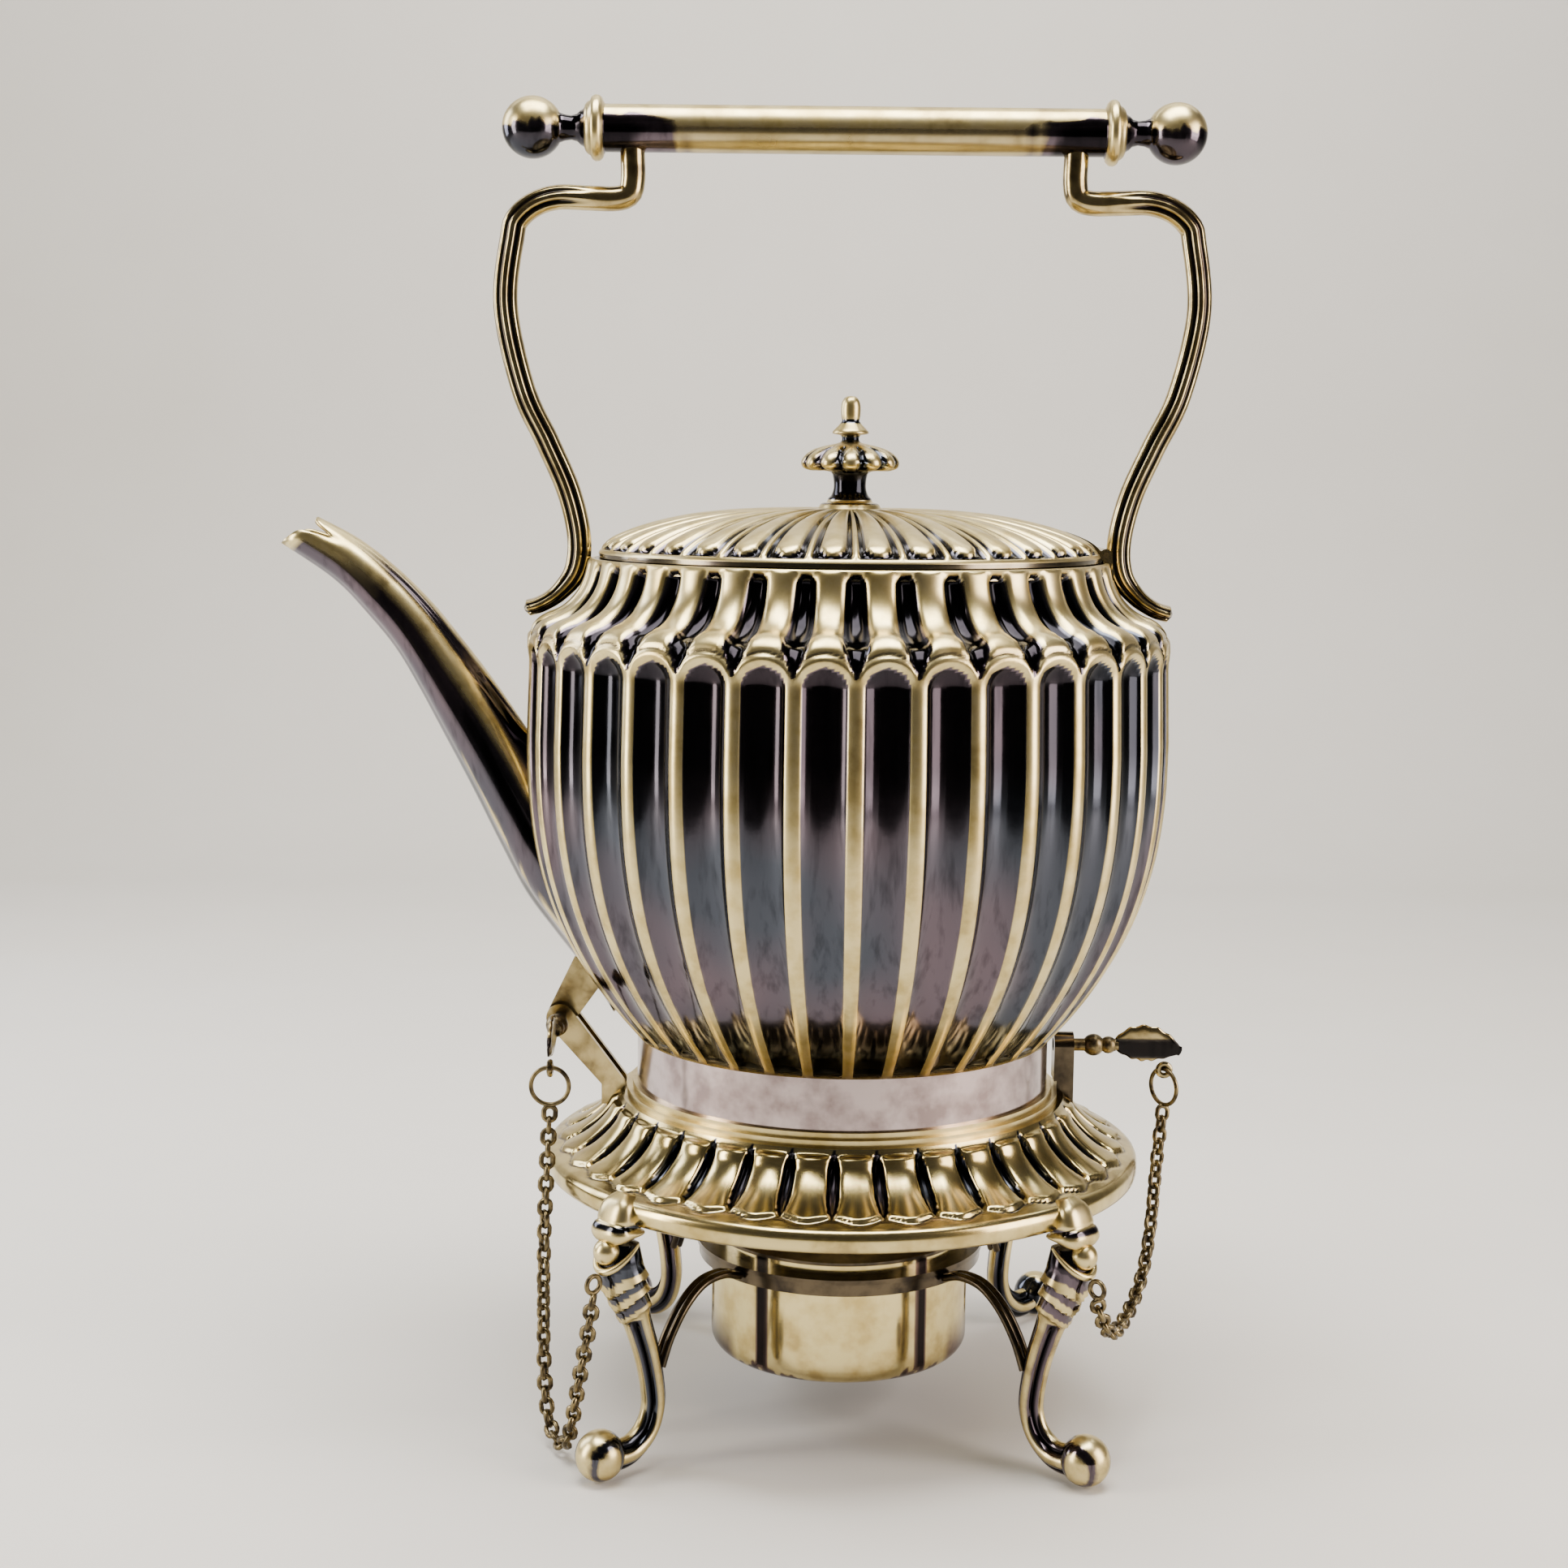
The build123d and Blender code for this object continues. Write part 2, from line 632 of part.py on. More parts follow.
def lid_hinge_fixed(outside, arm):
    """The fixed leaf: two knuckles on lugs that are soldered to the neck."""
    inner = LID_KNUCKLE / 2 + KNUCKLE_GAP
    pieces = []
    for side in (-1, 1):
        a, b = sorted((side * inner, side * LID_KNUCKLES_HALF))
        pieces.append(rod((LID_HINGE_X, a, LID_HINGE_Z), (LID_HINGE_X, b, LID_HINGE_Z), LID_BARREL_R))
        pieces.append(block((LID_HINGE_X - LUG_SINK, a, NECK_Z - LUG_DROP),
                            (LID_HINGE_X - LUG_SINK + LUG_THICK, b, LID_HINGE_Z)))
    bridge = block((NECK_R - CUT_PAST, -LID_KNUCKLES_HALF, NECK_Z - BRIDGE_DROP),
                   (LID_HINGE_X + BRIDGE_OUT, LID_KNUCKLES_HALF, NECK_Z - BRIDGE_TOP))
    leaf = pieces[0] + pieces[1:] + bridge
    bore = rod((LID_HINGE_X, -FAR, LID_HINGE_Z), (LID_HINGE_X, FAR, LID_HINGE_Z), LID_PIN_R)
    return leaf - bore - outside - arm


def lid_hinge_pin():
    """The pin that the lid turns on."""
    return rod((LID_HINGE_X, -LID_KNUCKLES_HALF, LID_HINGE_Z),
               (LID_HINGE_X, LID_KNUCKLES_HALF, LID_HINGE_Z), LID_PIN_R)


# ================================================================ finial
def finial_floor():
    """Height of the finial's underside: the top of the dome."""
    return lid_line()[-1][1]


def finial_turned(*points):
    """A finial piece from (radius, height above the dome) points, bored for the stud."""
    low = finial_floor()
    return turned(straight(*[(r, low + z) for r, z in points]))


def finial_base():
    """The stepped base and waisted stem."""
    low, stud = FINIAL_BASE_HEIGHT, FINIAL_STUD_R
    return finial_turned((stud, 0), (FINIAL_BASE_R, 0), (FINIAL_BASE_R, low * FINIAL_BASE_STEP),
                         (FINIAL_BASE_TOP_R, low), (FINIAL_WAIST_R, low + FINIAL_WAIST_RISE),
                         (FINIAL_WAIST_R, FINIAL_CAP_Z - FINIAL_FLARE_HEIGHT),
                         (FINIAL_WAIST_R + FINIAL_FLARE, FINIAL_CAP_Z), (stud, FINIAL_CAP_Z)) - lid_solid()


def finial_cap():
    """The broad petal cap."""
    low, high = FINIAL_CAP_Z, FINIAL_CAP_Z + FINIAL_CAP_HEIGHT
    return finial_turned((FINIAL_STUD_R, low), (FINIAL_WAIST_R + FINIAL_FLARE, low),
                         (FINIAL_CAP_R, low + FINIAL_CAP_EDGE_LOW),
                         (FINIAL_CAP_R, low + FINIAL_CAP_EDGE_HIGH),
                         (FINIAL_CAP_R * FINIAL_CAP_SHARE, low + FINIAL_CAP_KNEE), (FINIAL_CAP_TOP_R, high),
                         (FINIAL_STUD_R, high))


def finial_tip():
    """The small disc, neck and ball on top, which screws on the stud."""
    low = finial_floor()
    start = FINIAL_CAP_Z + FINIAL_CAP_HEIGHT
    stem = finial_turned((0, start), (FINIAL_STEM_R, start),
                         (FINIAL_STEM_R, FINIAL_DISC_Z - FINIAL_DISC_UNDER),
                         (FINIAL_DISC_R, FINIAL_DISC_Z), (FINIAL_STEM_R, FINIAL_DISC_Z + FINIAL_DISC_OVER),
                         (FINIAL_TOP_NECK_R, FINIAL_TIP_Z - FINIAL_DISC_UNDER), (0, FINIAL_TIP_Z))
    bore = rod((0, 0, low), (0, 0, low + FINIAL_DISC_Z), FINIAL_STUD_R)
    return stem + ball((0, 0, low + FINIAL_TIP_Z), FINIAL_TIP_R) - bore


def finial_stud():
    """The threaded stud through the dome and the finial."""
    low = finial_floor()
    return rod((0, 0, low - LID_SHEET - FINIAL_NUT_HEIGHT), (0, 0, low + FINIAL_DISC_Z), FINIAL_STUD_R)


def finial_nut():
    """The nut under the dome."""
    top = finial_floor() - LID_SHEET
    nut = Pos(0, 0, top - FINIAL_NUT_HEIGHT) * extrude(RegularPolygon(FINIAL_NUT_R, 6), FINIAL_NUT_HEIGHT)
    stud = rod((0, 0, top - CUT_PAST), (0, 0, top + CUT_PAST), FINIAL_STUD_R)
    return nut - stud & lid_solid(-LID_SHEET)


# ================================================================ stand
def skirt_line(drop=0.0):
    """The skirt's hollow outer line from the seat down to its edge: start, middle and end."""
    start = (SKIRT_TOP_R, SKIRT_TOP_Z - drop)
    end = (SKIRT_EDGE_R - RIM_WIDTH, SKIRT_EDGE_Z + RIM_RISE - drop)
    middle = (start[0] + (end[0] - start[0]) * SKIRT_HOLLOW_OUT,
              start[1] + (end[1] - start[1]) * SKIRT_HOLLOW_DOWN)
    return [start, middle, end]


def stand_skirt():
    """The flared sheet that carries the seat and hides the burner's top."""
    outer, inner = skirt_line(), skirt_line(SKIRT_SHEET)
    return turned([Line((STAND_BORE_R, SKIRT_TOP_Z), outer[0]), ThreePointArc(*outer),
                   Line(outer[2], inner[2]), ThreePointArc(*reversed(inner)),
                   Line(inner[0], (STAND_BORE_R, SKIRT_TOP_Z - SKIRT_SHEET)),
                   Line((STAND_BORE_R, SKIRT_TOP_Z - SKIRT_SHEET), (STAND_BORE_R, SKIRT_TOP_Z))])


def stand_seat():
    """The stepped moulding that the kettle's foot rests on, with its locating lip."""
    step = (SEAT_Z + SKIRT_TOP_Z) / 2
    lip = SEAT_Z + SEAT_LIP_HEIGHT
    return turned(straight((STAND_BORE_R, SKIRT_TOP_Z), (SEAT_STEP_R, SKIRT_TOP_Z), (SEAT_STEP_R, step),
                           (SEAT_R, step), (SEAT_R, SEAT_Z), (SEAT_LIP_R, SEAT_Z), (SEAT_LIP_R, lip),
                           (STAND_BORE_R, lip)))


def stand_rim():
    """The stiff band round the skirt's edge."""
    inner = SKIRT_EDGE_R - RIM_WIDTH
    return ring(SKIRT_EDGE_R, inner, SKIRT_EDGE_Z - RIM_DROP, SKIRT_EDGE_Z + RIM_RISE)


def leg_sections():
    """Sections of a leg from its top to its toe: distance out, height and half thickness."""
    top = SKIRT_EDGE_Z - RIM_DROP
    return [(LEG_TOP_R, top + LEG_TOP_RISE, LEG_TOP_THICK), (KNEE_R, KNEE_Z, KNEE_THICK),
            (CALF_R, CALF_Z, CALF_THICK), (SHAFT_R, SHAFT_Z, SHAFT_THICK), (ANKLE_R, ANKLE_Z, ANKLE_THICK),
            (HEEL_R, HEEL_Z, HEEL_THICK), (TOE_R - TOE_IN, TOE_Z + TOE_LIFT, TOE_BALL_R * TOE_SHARE)]


def stand_leg(angle):
    """One cast cabriole leg with its scrolled toe, cut flat where it stands."""
    stations = leg_sections()
    sections = []
    for i, (out, z, half) in enumerate(stations):
        a, b = stations[max(i - 1, 0)], stations[min(i + 1, len(stations) - 1)]
        plane = Plane(origin=(out, 0, z), x_dir=(0, 1, 0), z_dir=(b[0] - a[0], 0, b[1] - a[1]))
        sections.append(plane * Circle(half))
    leg = loft(sections) + ball((TOE_R, 0, TOE_Z), TOE_BALL_R)
    leg = leg - block((0, -FAR, -FAR), (FAR, FAR, 0))
    hidden = block((0, -FAR, SKIRT_EDGE_Z + RIM_RISE - LEG_SINK), (FAR, FAR, SKIRT_EDGE_Z + FAR))
    leg = leg - hidden - stand_rim() - stand_skirt()
    return at_angle(max(leg.solids(), key=lambda s: s.volume), angle)


def cradle_strut(angle):
    """One curved strut from a leg's ankle to the cradle ring."""
    start, end = (ANKLE_R, STRUT_FOOT_Z), (CRADLE_R, CRADLE_TOP_Z - CRADLE_HEIGHT / 2)
    bow = ((start[0] + end[0]) / 2 + STRUT_RISE, (start[1] + end[1]) / 2 + STRUT_RISE)
    path = Plane.XZ * ThreePointArc(start, bow, end)
    section = Plane(origin=path @ 0, x_dir=(0, 1, 0), z_dir=path % 0) * Rectangle(STRUT_WIDTH, STRUT_THICK)
    strut = at_angle(sweep(section, path=path), angle)
    overlap = rod((0, 0, 0), (0, 0, SKIRT_TOP_Z), CRADLE_R)
    return strut - stand_leg(angle) - overlap


def cradle_ring():
    """The ring that the burner hangs in."""
    return ring(CRADLE_R, CRADLE_BORE_R, CRADLE_TOP_Z - CRADLE_HEIGHT, CRADLE_TOP_Z)


def tilt_bracket():
    """The fork on the stand that holds the tilting pin."""
    inner = LUG_WIDTH / 2 + LUG_SIDE_GAP
    outer = inner + CHEEK_SHEET
    root = (BRACKET_ROOT_X, SKIRT_TOP_Z + BRACKET_ROOT_RISE)
    root_r = CHEEK_R - BRACKET_ROOT_NARROW
    cheeks = [link_plate((TILT_X, TILT_Z), CHEEK_R, root, root_r, *sorted((side * inner, side * outer)))
              for side in (-1, 1)]
    foot = block((BRACKET_ROOT_X - BRACKET_FOOT_OUT, -outer, SKIRT_TOP_Z - BRACKET_FOOT_LOW),
                 (BRACKET_ROOT_X + BRACKET_FOOT_IN, outer, SKIRT_TOP_Z + BRACKET_FOOT_HIGH))
    return foot + cheeks - tilt_bore() - skirt_full() - seat_full()


def tilt_bore():
    """The running bore for the tilting pin, right across the hinge."""
    return rod((TILT_X, -FAR, TILT_Z), (TILT_X, FAR, TILT_Z), PIN_R + PIN_CLEARANCE)


def seat_full():
    """Everything inside the seat's widest step."""
    return ring(SEAT_STEP_R, FINIAL_STUD_R, SKIRT_TOP_Z - SKIRT_SHEET, SEAT_Z)


def skirt_full():
    """Everything under the skirt's outer line."""
    outer = skirt_line()
    edge, low = outer[2][0], CRADLE_TOP_Z
    return turned([Line((0, SKIRT_TOP_Z), outer[0]), ThreePointArc(*outer), Line(outer[2], (edge, low)),
                   Line((edge, low), (0, low)), Line((0, low), (0, SKIRT_TOP_Z))])


def lock_bracket():
    """The barrel on the stand that the locking pin slides in."""
    end = LOCK_BARREL_X + LOCK_BARREL_LENGTH
    barrel = rod((LOCK_BARREL_X, 0, LOCK_Z), (end, 0, LOCK_Z), LOCK_BARREL_R)
    post = block((LOCK_BARREL_X, -LOCK_BARREL_R, SKIRT_TOP_Z - LOCK_POST_LOW), (end, LOCK_BARREL_R, LOCK_Z))
    bore = rod((LOCK_BARREL_X - CUT_PAST, 0, LOCK_Z), (end + CUT_PAST, 0, LOCK_Z), PIN_R + PIN_CLEARANCE)
    return barrel + post - bore - skirt_full() - seat_full()


def tilt_lug(outside):
    """The lug under the spout's root that turns on the tilting pin."""
    half = LUG_WIDTH / 2
    root_r = CHEEK_R + LUG_ROOT_THICK
    plate = link_plate((TILT_X, TILT_Z), CHEEK_R, (LUG_TOP_X, LUG_TOP_Z), root_r, -half, half)
    return plate - tilt_bore() - outside - spout_solid(0)


# ================================================================ pull pins
def pin_shaft(length):
    """A pin from its tip to its shoulder at x = 0, with two beads outside it."""
    shaft = rod((-length, 0, 0), (THUMB_LENGTH / 2, 0, 0), PIN_R)
    first = PIN_BEAD_R * PIN_BEAD_SEAT
    second = PIN_BEAD_R * PIN_BEAD_WIDTH + PIN_SMALL_BEAD_R * PIN_SMALL_BEAD_SINK
    shaft = shaft + ball((first, 0, 0), PIN_BEAD_R) + ball((second, 0, 0), PIN_SMALL_BEAD_R)
    return shaft - thumb_blank()


def thumb_start():
    """Where the thumb piece begins, outside the beads."""
    return PIN_BEAD_R * PIN_BEAD_WIDTH + PIN_SMALL_BEAD_R * PIN_SMALL_BEAD_WIDTH


def thumb_blank():
    """The thumb piece's rounded plate before its tab is added."""
    middle = thumb_start() + THUMB_LENGTH / 2
    outline = Plane.XZ * (Pos(middle, 0) * Ellipse(THUMB_LENGTH / 2, THUMB_HEIGHT / 2))
    return extrude(outline, THUMB_THICK / 2, both=True)


def ring_place():
    """Centre of the hanging ring, from the pin's shoulder."""
    return (thumb_start() + THUMB_LENGTH * TAB_SHARE, 0, -TAB_DROP - RING_R)


def thumb_piece():
    """The thumb piece with the tab that the ring hangs in."""
    x, _, z = ring_place()
    tab_z = z + RING_R
    neck = Pos(x, tab_z + TAB_NECK) * Rectangle(TAB_R * 2, TAB_NECK * 2)
    tab = extrude(Plane.XZ * (Pos(x, tab_z) * Circle(TAB_R) + neck), TAB_THICK / 2, both=True)
    hole_z = tab_z - TAB_HOLE_DROP
    hole = rod((x, -CUT_PAST, hole_z), (x, CUT_PAST, hole_z), TAB_HOLE_R)
    return thumb_blank() + tab - hole


def pin_ring(turn):
    """The loose ring in the tab."""
    return Pos(*ring_place()) * Rot(0, 0, turn) * Rot(0, 90, 0) * Torus(RING_R, RING_WIRE_R)


def on_tilt_pin(piece):
    """Place a pin piece on the tilting hinge, its head towards -Y."""
    return Pos(TILT_X, TILT_PIN_SHOULDER_Y, TILT_Z) * Rot(0, 0, -90) * piece


def on_lock_pin(piece):
    """Place a pin piece in the locking barrel, its head towards +X."""
    return Pos(LOCK_SHOULDER_X, 0, LOCK_Z) * piece


# ================================================================ chains
def ring_bottom(place):
    """The lowest point of a pin's ring, less the gap to the chain."""
    x, y, z = ring_place()
    centre = place(Pos(x, y, z) * Sphere(RING_R)).center()
    return (centre.X, centre.Y, centre.Z - RING_R - RING_WIRE_R - CHAIN_GAP)


def eye_centre(side):
    """Centre of the small eye on a front leg's knee."""
    out = KNEE_R + KNEE_THICK + EYE_R * EYE_STAND_OFF
    angle = math.radians(eye_angle(side))
    return (out * math.cos(angle), out * math.sin(angle), KNEE_Z - EYE_DROP)


def eye_angle(side):
    """Direction of the leg that a chain is made fast to: the one on that side and nearest -Y."""
    return LEG_FIRST_ANGLE + (2 if side < 0 else 3) * 360 / LEG_COUNT


def chain_eye(side):
    """The eye on the knee that the chain's last link hangs in."""
    x, y, z = eye_centre(side)
    leg_angle = eye_angle(side)
    eye = Pos(x, y, z) * Rot(0, 0, leg_angle) * Rot(90, 0, 0) * Torus(EYE_R, EYE_WIRE_R)
    eye = eye - stand_leg(leg_angle)
    return max(eye.solids(), key=lambda s: s.volume)


def chain_route(side):
    """The whole route of a chain, from its ring to its eye."""
    if side < 0:
        start, middle = ring_bottom(on_tilt_pin), TILT_CHAIN
    else:
        start, middle = ring_bottom(on_lock_pin), LOCK_CHAIN
    x, y, z = eye_centre(side)
    end = (x, y, z - EYE_R - EYE_WIRE_R - CHAIN_GAP)
    return [start] + middle + [end]


def chain(side):
    """A chain as a plain tube of its links' width."""
    route = chain_route(side)
    tube, path = tube_along(route, CHAIN_WIDTH / 2)
    expected = math.pi * CHAIN_WIDTH ** 2 / 4 * path.length
    print("chain", side, "length", round(path.length, 1), "volume ratio", round(tube.volume / expected, 4))
    print("  radii", [round(r, 1) for r in bend_radii(route)])
    print("  route", [tuple(round(v, 2) for v in point) for point in route])
    return tube


# ================================================================ burner
def burner_cup():
    """The drawn cup that holds the spirit."""
    top, r, inner = CUP_TOP_Z, CUP_R, CUP_R - CUP_SHEET
    full = turned(straight((0, BURNER_BOTTOM_Z), (r, BURNER_BOTTOM_Z), (r, top), (0, top)))
    full = fillet(full.edges().sort_by(Axis.Z)[0], CUP_CORNER_R)
    room = turned(straight((0, BURNER_BOTTOM_Z + CUP_SHEET), (inner, BURNER_BOTTOM_Z + CUP_SHEET),
                           (inner, top), (0, top)))
    room = fillet(room.edges().sort_by(Axis.Z)[0], CUP_CORNER_R - CUP_SHEET)
    return full - room


def burner_flange():
    """The flat ring round the cup that hangs on the cradle."""
    return ring(FLANGE_R, CUP_R, CRADLE_TOP_Z, CRADLE_TOP_Z + FLANGE_THICK)


def burner_cover():
    """The shallow dome that closes the cup round the wick collar."""
    top, sheet = CUP_TOP_Z, CUP_SHEET
    return turned(straight((CUP_R, top), (CUP_R, top + sheet), (WICK_COLLAR_R, top + COVER_RISE + sheet),
                           (COLLAR_BORE_R, top + COVER_RISE + sheet), (COLLAR_BORE_R, top + COVER_RISE),
                           (WICK_COLLAR_R, top + COVER_RISE), (CUP_R - CUP_SHEET, top)))


def wick_collar():
    """The screwed collar that holds the wick tube on the cover."""
    low = CUP_TOP_Z + COVER_RISE + CUP_SHEET
    return ring(WICK_COLLAR_R, WICK_TUBE_R, low, low + WICK_COLLAR_HEIGHT)


def wick_tube():
    """The tube round the wick."""
    low = CUP_TOP_Z + COVER_RISE - WICK_TUBE_SINK
    return ring(WICK_TUBE_R, WICK_TUBE_R - WICK_TUBE_SHEET, low, WICK_TUBE_TOP_Z)


def wick():
    """The round cotton wick."""
    return rod((0, 0, WICK_BOTTOM_Z), (0, 0, WICK_TOP_Z), WICK_TUBE_R - WICK_TUBE_SHEET)


# ================================================================ all pieces
def all_pieces():
    """Every piece by its node's name, in the modelling frame."""
    outside = fluted_outside()
    body, arm = kettle_body(outside), handle_arm(1, outside)
    pieces = {
        "kettle_body": body,
        "neck_rim": neck_rim(body),
        "kettle_foot_ring": kettle_foot_ring(),
        "spout": spout(outside),
        "handle_arm_front": handle_arm(-1, outside),
        "handle_arm_rear": arm,
        "grip_tube": grip_tube(),
        "grip_rod": grip_rod(),
        "grip_collar_front": grip_collar(-1),
        "grip_collar_rear": grip_collar(1),
        "grip_knob_front": grip_knob(-1),
        "grip_knob_rear": grip_knob(1),
        "tilt_lug": tilt_lug(outside),
        "lid_hinge_fixed": lid_hinge_fixed(outside, arm),
        "lid_hinge_pin": lid_hinge_pin(),
        "lid_dome": lid_dome(),
        "lid_bezel": lid_bezel(),
        "lid_hinge_flap": lid_hinge_flap(),
        "finial_base": finial_base(),
        "finial_cap": finial_cap(),
        "finial_tip": finial_tip(),
        "finial_stud": finial_stud(),
        "finial_nut": finial_nut(),
        "stand_skirt": stand_skirt(),
        "stand_seat": stand_seat(),
        "stand_rim": stand_rim(),
        "cradle_ring": cradle_ring(),
        "tilt_bracket": tilt_bracket(),
        "lock_bracket": lock_bracket(),
        "burner_cup": burner_cup(),
        "burner_flange": burner_flange(),
        "burner_cover": burner_cover(),
        "wick_collar": wick_collar(),
        "wick_tube": wick_tube(),
        "wick": wick(),
        "tilt_pin": on_tilt_pin(pin_shaft(TILT_PIN_TIP_Y - TILT_PIN_SHOULDER_Y)),
        "tilt_pin_thumb_piece": on_tilt_pin(thumb_piece()),
        "tilt_pin_ring": on_tilt_pin(pin_ring(0)),
        "lock_pin": on_lock_pin(pin_shaft(LOCK_SHOULDER_X - LOCK_TIP_X)),
        "lock_pin_thumb_piece": on_lock_pin(thumb_piece()),
        "lock_pin_ring": on_lock_pin(pin_ring(LOCK_RING_TURN)),
        "chain_eye_front": chain_eye(-1),
        "chain_eye_rear": chain_eye(1),
        "tilt_pin_chain": chain(-1),
        "lock_pin_chain": chain(1),
    }
    for number in range(LEG_COUNT):
        angle = LEG_FIRST_ANGLE + number * 360 / LEG_COUNT
        pieces[f"leg_{number + 1}"] = stand_leg(angle)
        pieces[f"cradle_strut_{number + 1}"] = cradle_strut(angle)
    return pieces


def origin_shift(pieces):
    """How far the pieces move along X so that the origin is under the middle of the object."""
    low = pieces["spout"].bounding_box().min.X
    high = max(pieces["handle_arm_rear"].bounding_box().max.X, pieces["grip_knob_rear"].bounding_box().max.X,
               pieces["lock_pin_thumb_piece"].bounding_box().max.X)
    return -(low + high) / 2


def main():
    os.makedirs("parts", exist_ok=True)
    pieces = all_pieces()
    shift = origin_shift(pieces)
    print("origin shift", round(shift, 4))
    for name, piece in pieces.items():
        export_step(Pos(shift, 0, 0) * piece, f"parts/{name}.step")


main()
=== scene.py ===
import logging
import math
from collections.abc import Callable
from dataclasses import dataclass, field
from enum import Enum

import bpy
import numpy as np
from bpy.types import Material, Node, NodeSocket, Object
from mathutils import Matrix, Vector


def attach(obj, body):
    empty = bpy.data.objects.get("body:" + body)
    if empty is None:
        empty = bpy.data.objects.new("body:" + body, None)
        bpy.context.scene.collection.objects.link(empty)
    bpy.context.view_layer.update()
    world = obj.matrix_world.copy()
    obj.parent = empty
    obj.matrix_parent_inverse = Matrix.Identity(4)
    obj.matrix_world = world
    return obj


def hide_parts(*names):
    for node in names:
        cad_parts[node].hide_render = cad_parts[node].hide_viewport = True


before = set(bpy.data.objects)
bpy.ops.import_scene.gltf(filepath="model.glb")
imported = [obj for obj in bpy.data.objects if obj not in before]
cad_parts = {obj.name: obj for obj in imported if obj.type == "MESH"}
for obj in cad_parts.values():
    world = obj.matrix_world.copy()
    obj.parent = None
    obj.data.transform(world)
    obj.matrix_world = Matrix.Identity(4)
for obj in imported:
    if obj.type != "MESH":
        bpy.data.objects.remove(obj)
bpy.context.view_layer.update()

logging.basicConfig(level=logging.INFO, format="%(message)s")
LOG = logging.getLogger("spirit_kettle")

MM = 0.001
AXIS_X = 26.6554
FLUTES = 36
PITCH = 2 * math.pi / FLUTES
FRONT = -math.pi / 2


# ---------------------------------------------------------------- making
class Bench:
    """The few ways every piece is made: pick, edit, read and write its points."""

    @staticmethod
    def pick(obj: Object) -> None:
        """Select one object alone and make it the active one.

        Args:
            obj: the object to work on.
        """
        if bpy.context.mode != "OBJECT":
            bpy.ops.object.mode_set(mode="OBJECT")
        bpy.ops.object.select_all(action="DESELECT")
        obj.select_set(True)
        bpy.context.view_layer.objects.active = obj

    @classmethod
    def edit(cls, obj: Object) -> None:
        """Open one mesh for editing with everything selected.

        Args:
            obj: the mesh object to edit.
        """
        cls.pick(obj)
        bpy.ops.object.mode_set(mode="EDIT")
        bpy.ops.mesh.select_all(action="SELECT")

    @staticmethod
    def leave() -> None:
        """Go back to object mode."""
        bpy.ops.object.mode_set(mode="OBJECT")

    @staticmethod
    def add(name: str, primitive: Callable, **settings) -> Object:
        """Add a primitive with nothing else selected, and name it.

        Args:
            name: the piece's name.
            primitive: the operator that adds it.
            settings: the operator's settings.
        Returns:
            The new object.
        """
        bpy.ops.object.select_all(action="DESELECT")
        primitive(**settings)
        obj = bpy.context.object
        obj.name = obj.data.name = name
        return obj

    @staticmethod
    def points(obj: Object) -> np.ndarray:
        """Read a mesh's points.

        Args:
            obj: the mesh object.
        Returns:
            An array of (x, y, z), in metres.
        """
        co = np.zeros(len(obj.data.vertices) * 3)
        obj.data.vertices.foreach_get("co", co)
        return co.reshape(-1, 3)

    @staticmethod
    def move(obj: Object, co: np.ndarray) -> None:
        """Write a mesh's points back.

        Args:
            obj: the mesh object.
            co: the new points, in metres.
        """
        obj.data.vertices.foreach_set("co", np.ascontiguousarray(co, dtype=np.float64).ravel())
        obj.data.update()

    @staticmethod
    def mark(obj: Object, name: str, values: np.ndarray) -> None:
        """Store one number for each point, for the finish to read.

        Args:
            obj: the mesh object.
            name: the attribute's name.
            values: one number for each point.
        """
        layer = obj.data.attributes.get(name) or obj.data.attributes.new(name, "FLOAT", "POINT")
        layer.data.foreach_set("value", np.ascontiguousarray(values, dtype=np.float32))

    @classmethod
    def clean(cls, obj: Object, close: bool = False, smooth_angle: float = 40.0) -> Object:
        """Merge seam points, turn every face outwards and shade the surface.

        Args:
            obj: the mesh object.
            close: whether open rims are closed with faces.
            smooth_angle: edges sharper than this, in degrees, stay crisp.
        Returns:
            The same object.
        """
        cls.edit(obj)
        bpy.ops.mesh.remove_doubles(threshold=0.000004)
        if close:
            bpy.ops.mesh.select_all(action="DESELECT")
            bpy.ops.mesh.select_non_manifold(extend=False)
            bpy.ops.mesh.edge_face_add()
            bpy.ops.mesh.select_all(action="SELECT")
        bpy.ops.mesh.normals_make_consistent(inside=False)
        cls.leave()
        bpy.ops.object.shade_smooth_by_angle(angle=math.radians(smooth_angle))
        return obj

    @classmethod
    def join(cls, name: str, parts: list[Object]) -> Object:
        """Join several meshes in one.

        Args:
            name: the joined piece's name.
            parts: the meshes, the first of which keeps its materials first.
        Returns:
            The joined object.
        """
        cls.pick(parts[0])
        for part in parts[1:]:
            part.select_set(True)
        bpy.ops.object.join()
        parts[0].name = parts[0].data.name = name
        return parts[0]

    @classmethod
    def cut(cls, obj: Object, tool: Object) -> None:
        """Take one solid away from another; the tool is used up.

        Args:
            obj: the piece that stays.
            tool: the cutting solid.
        """
        cls.pick(obj)
        modifier = obj.modifiers.new("cut", "BOOLEAN")
        modifier.operation = "DIFFERENCE"
        modifier.solver = "EXACT"
        modifier.object = tool
        bpy.ops.object.modifier_apply(modifier=modifier.name)
        bpy.data.objects.remove(tool)


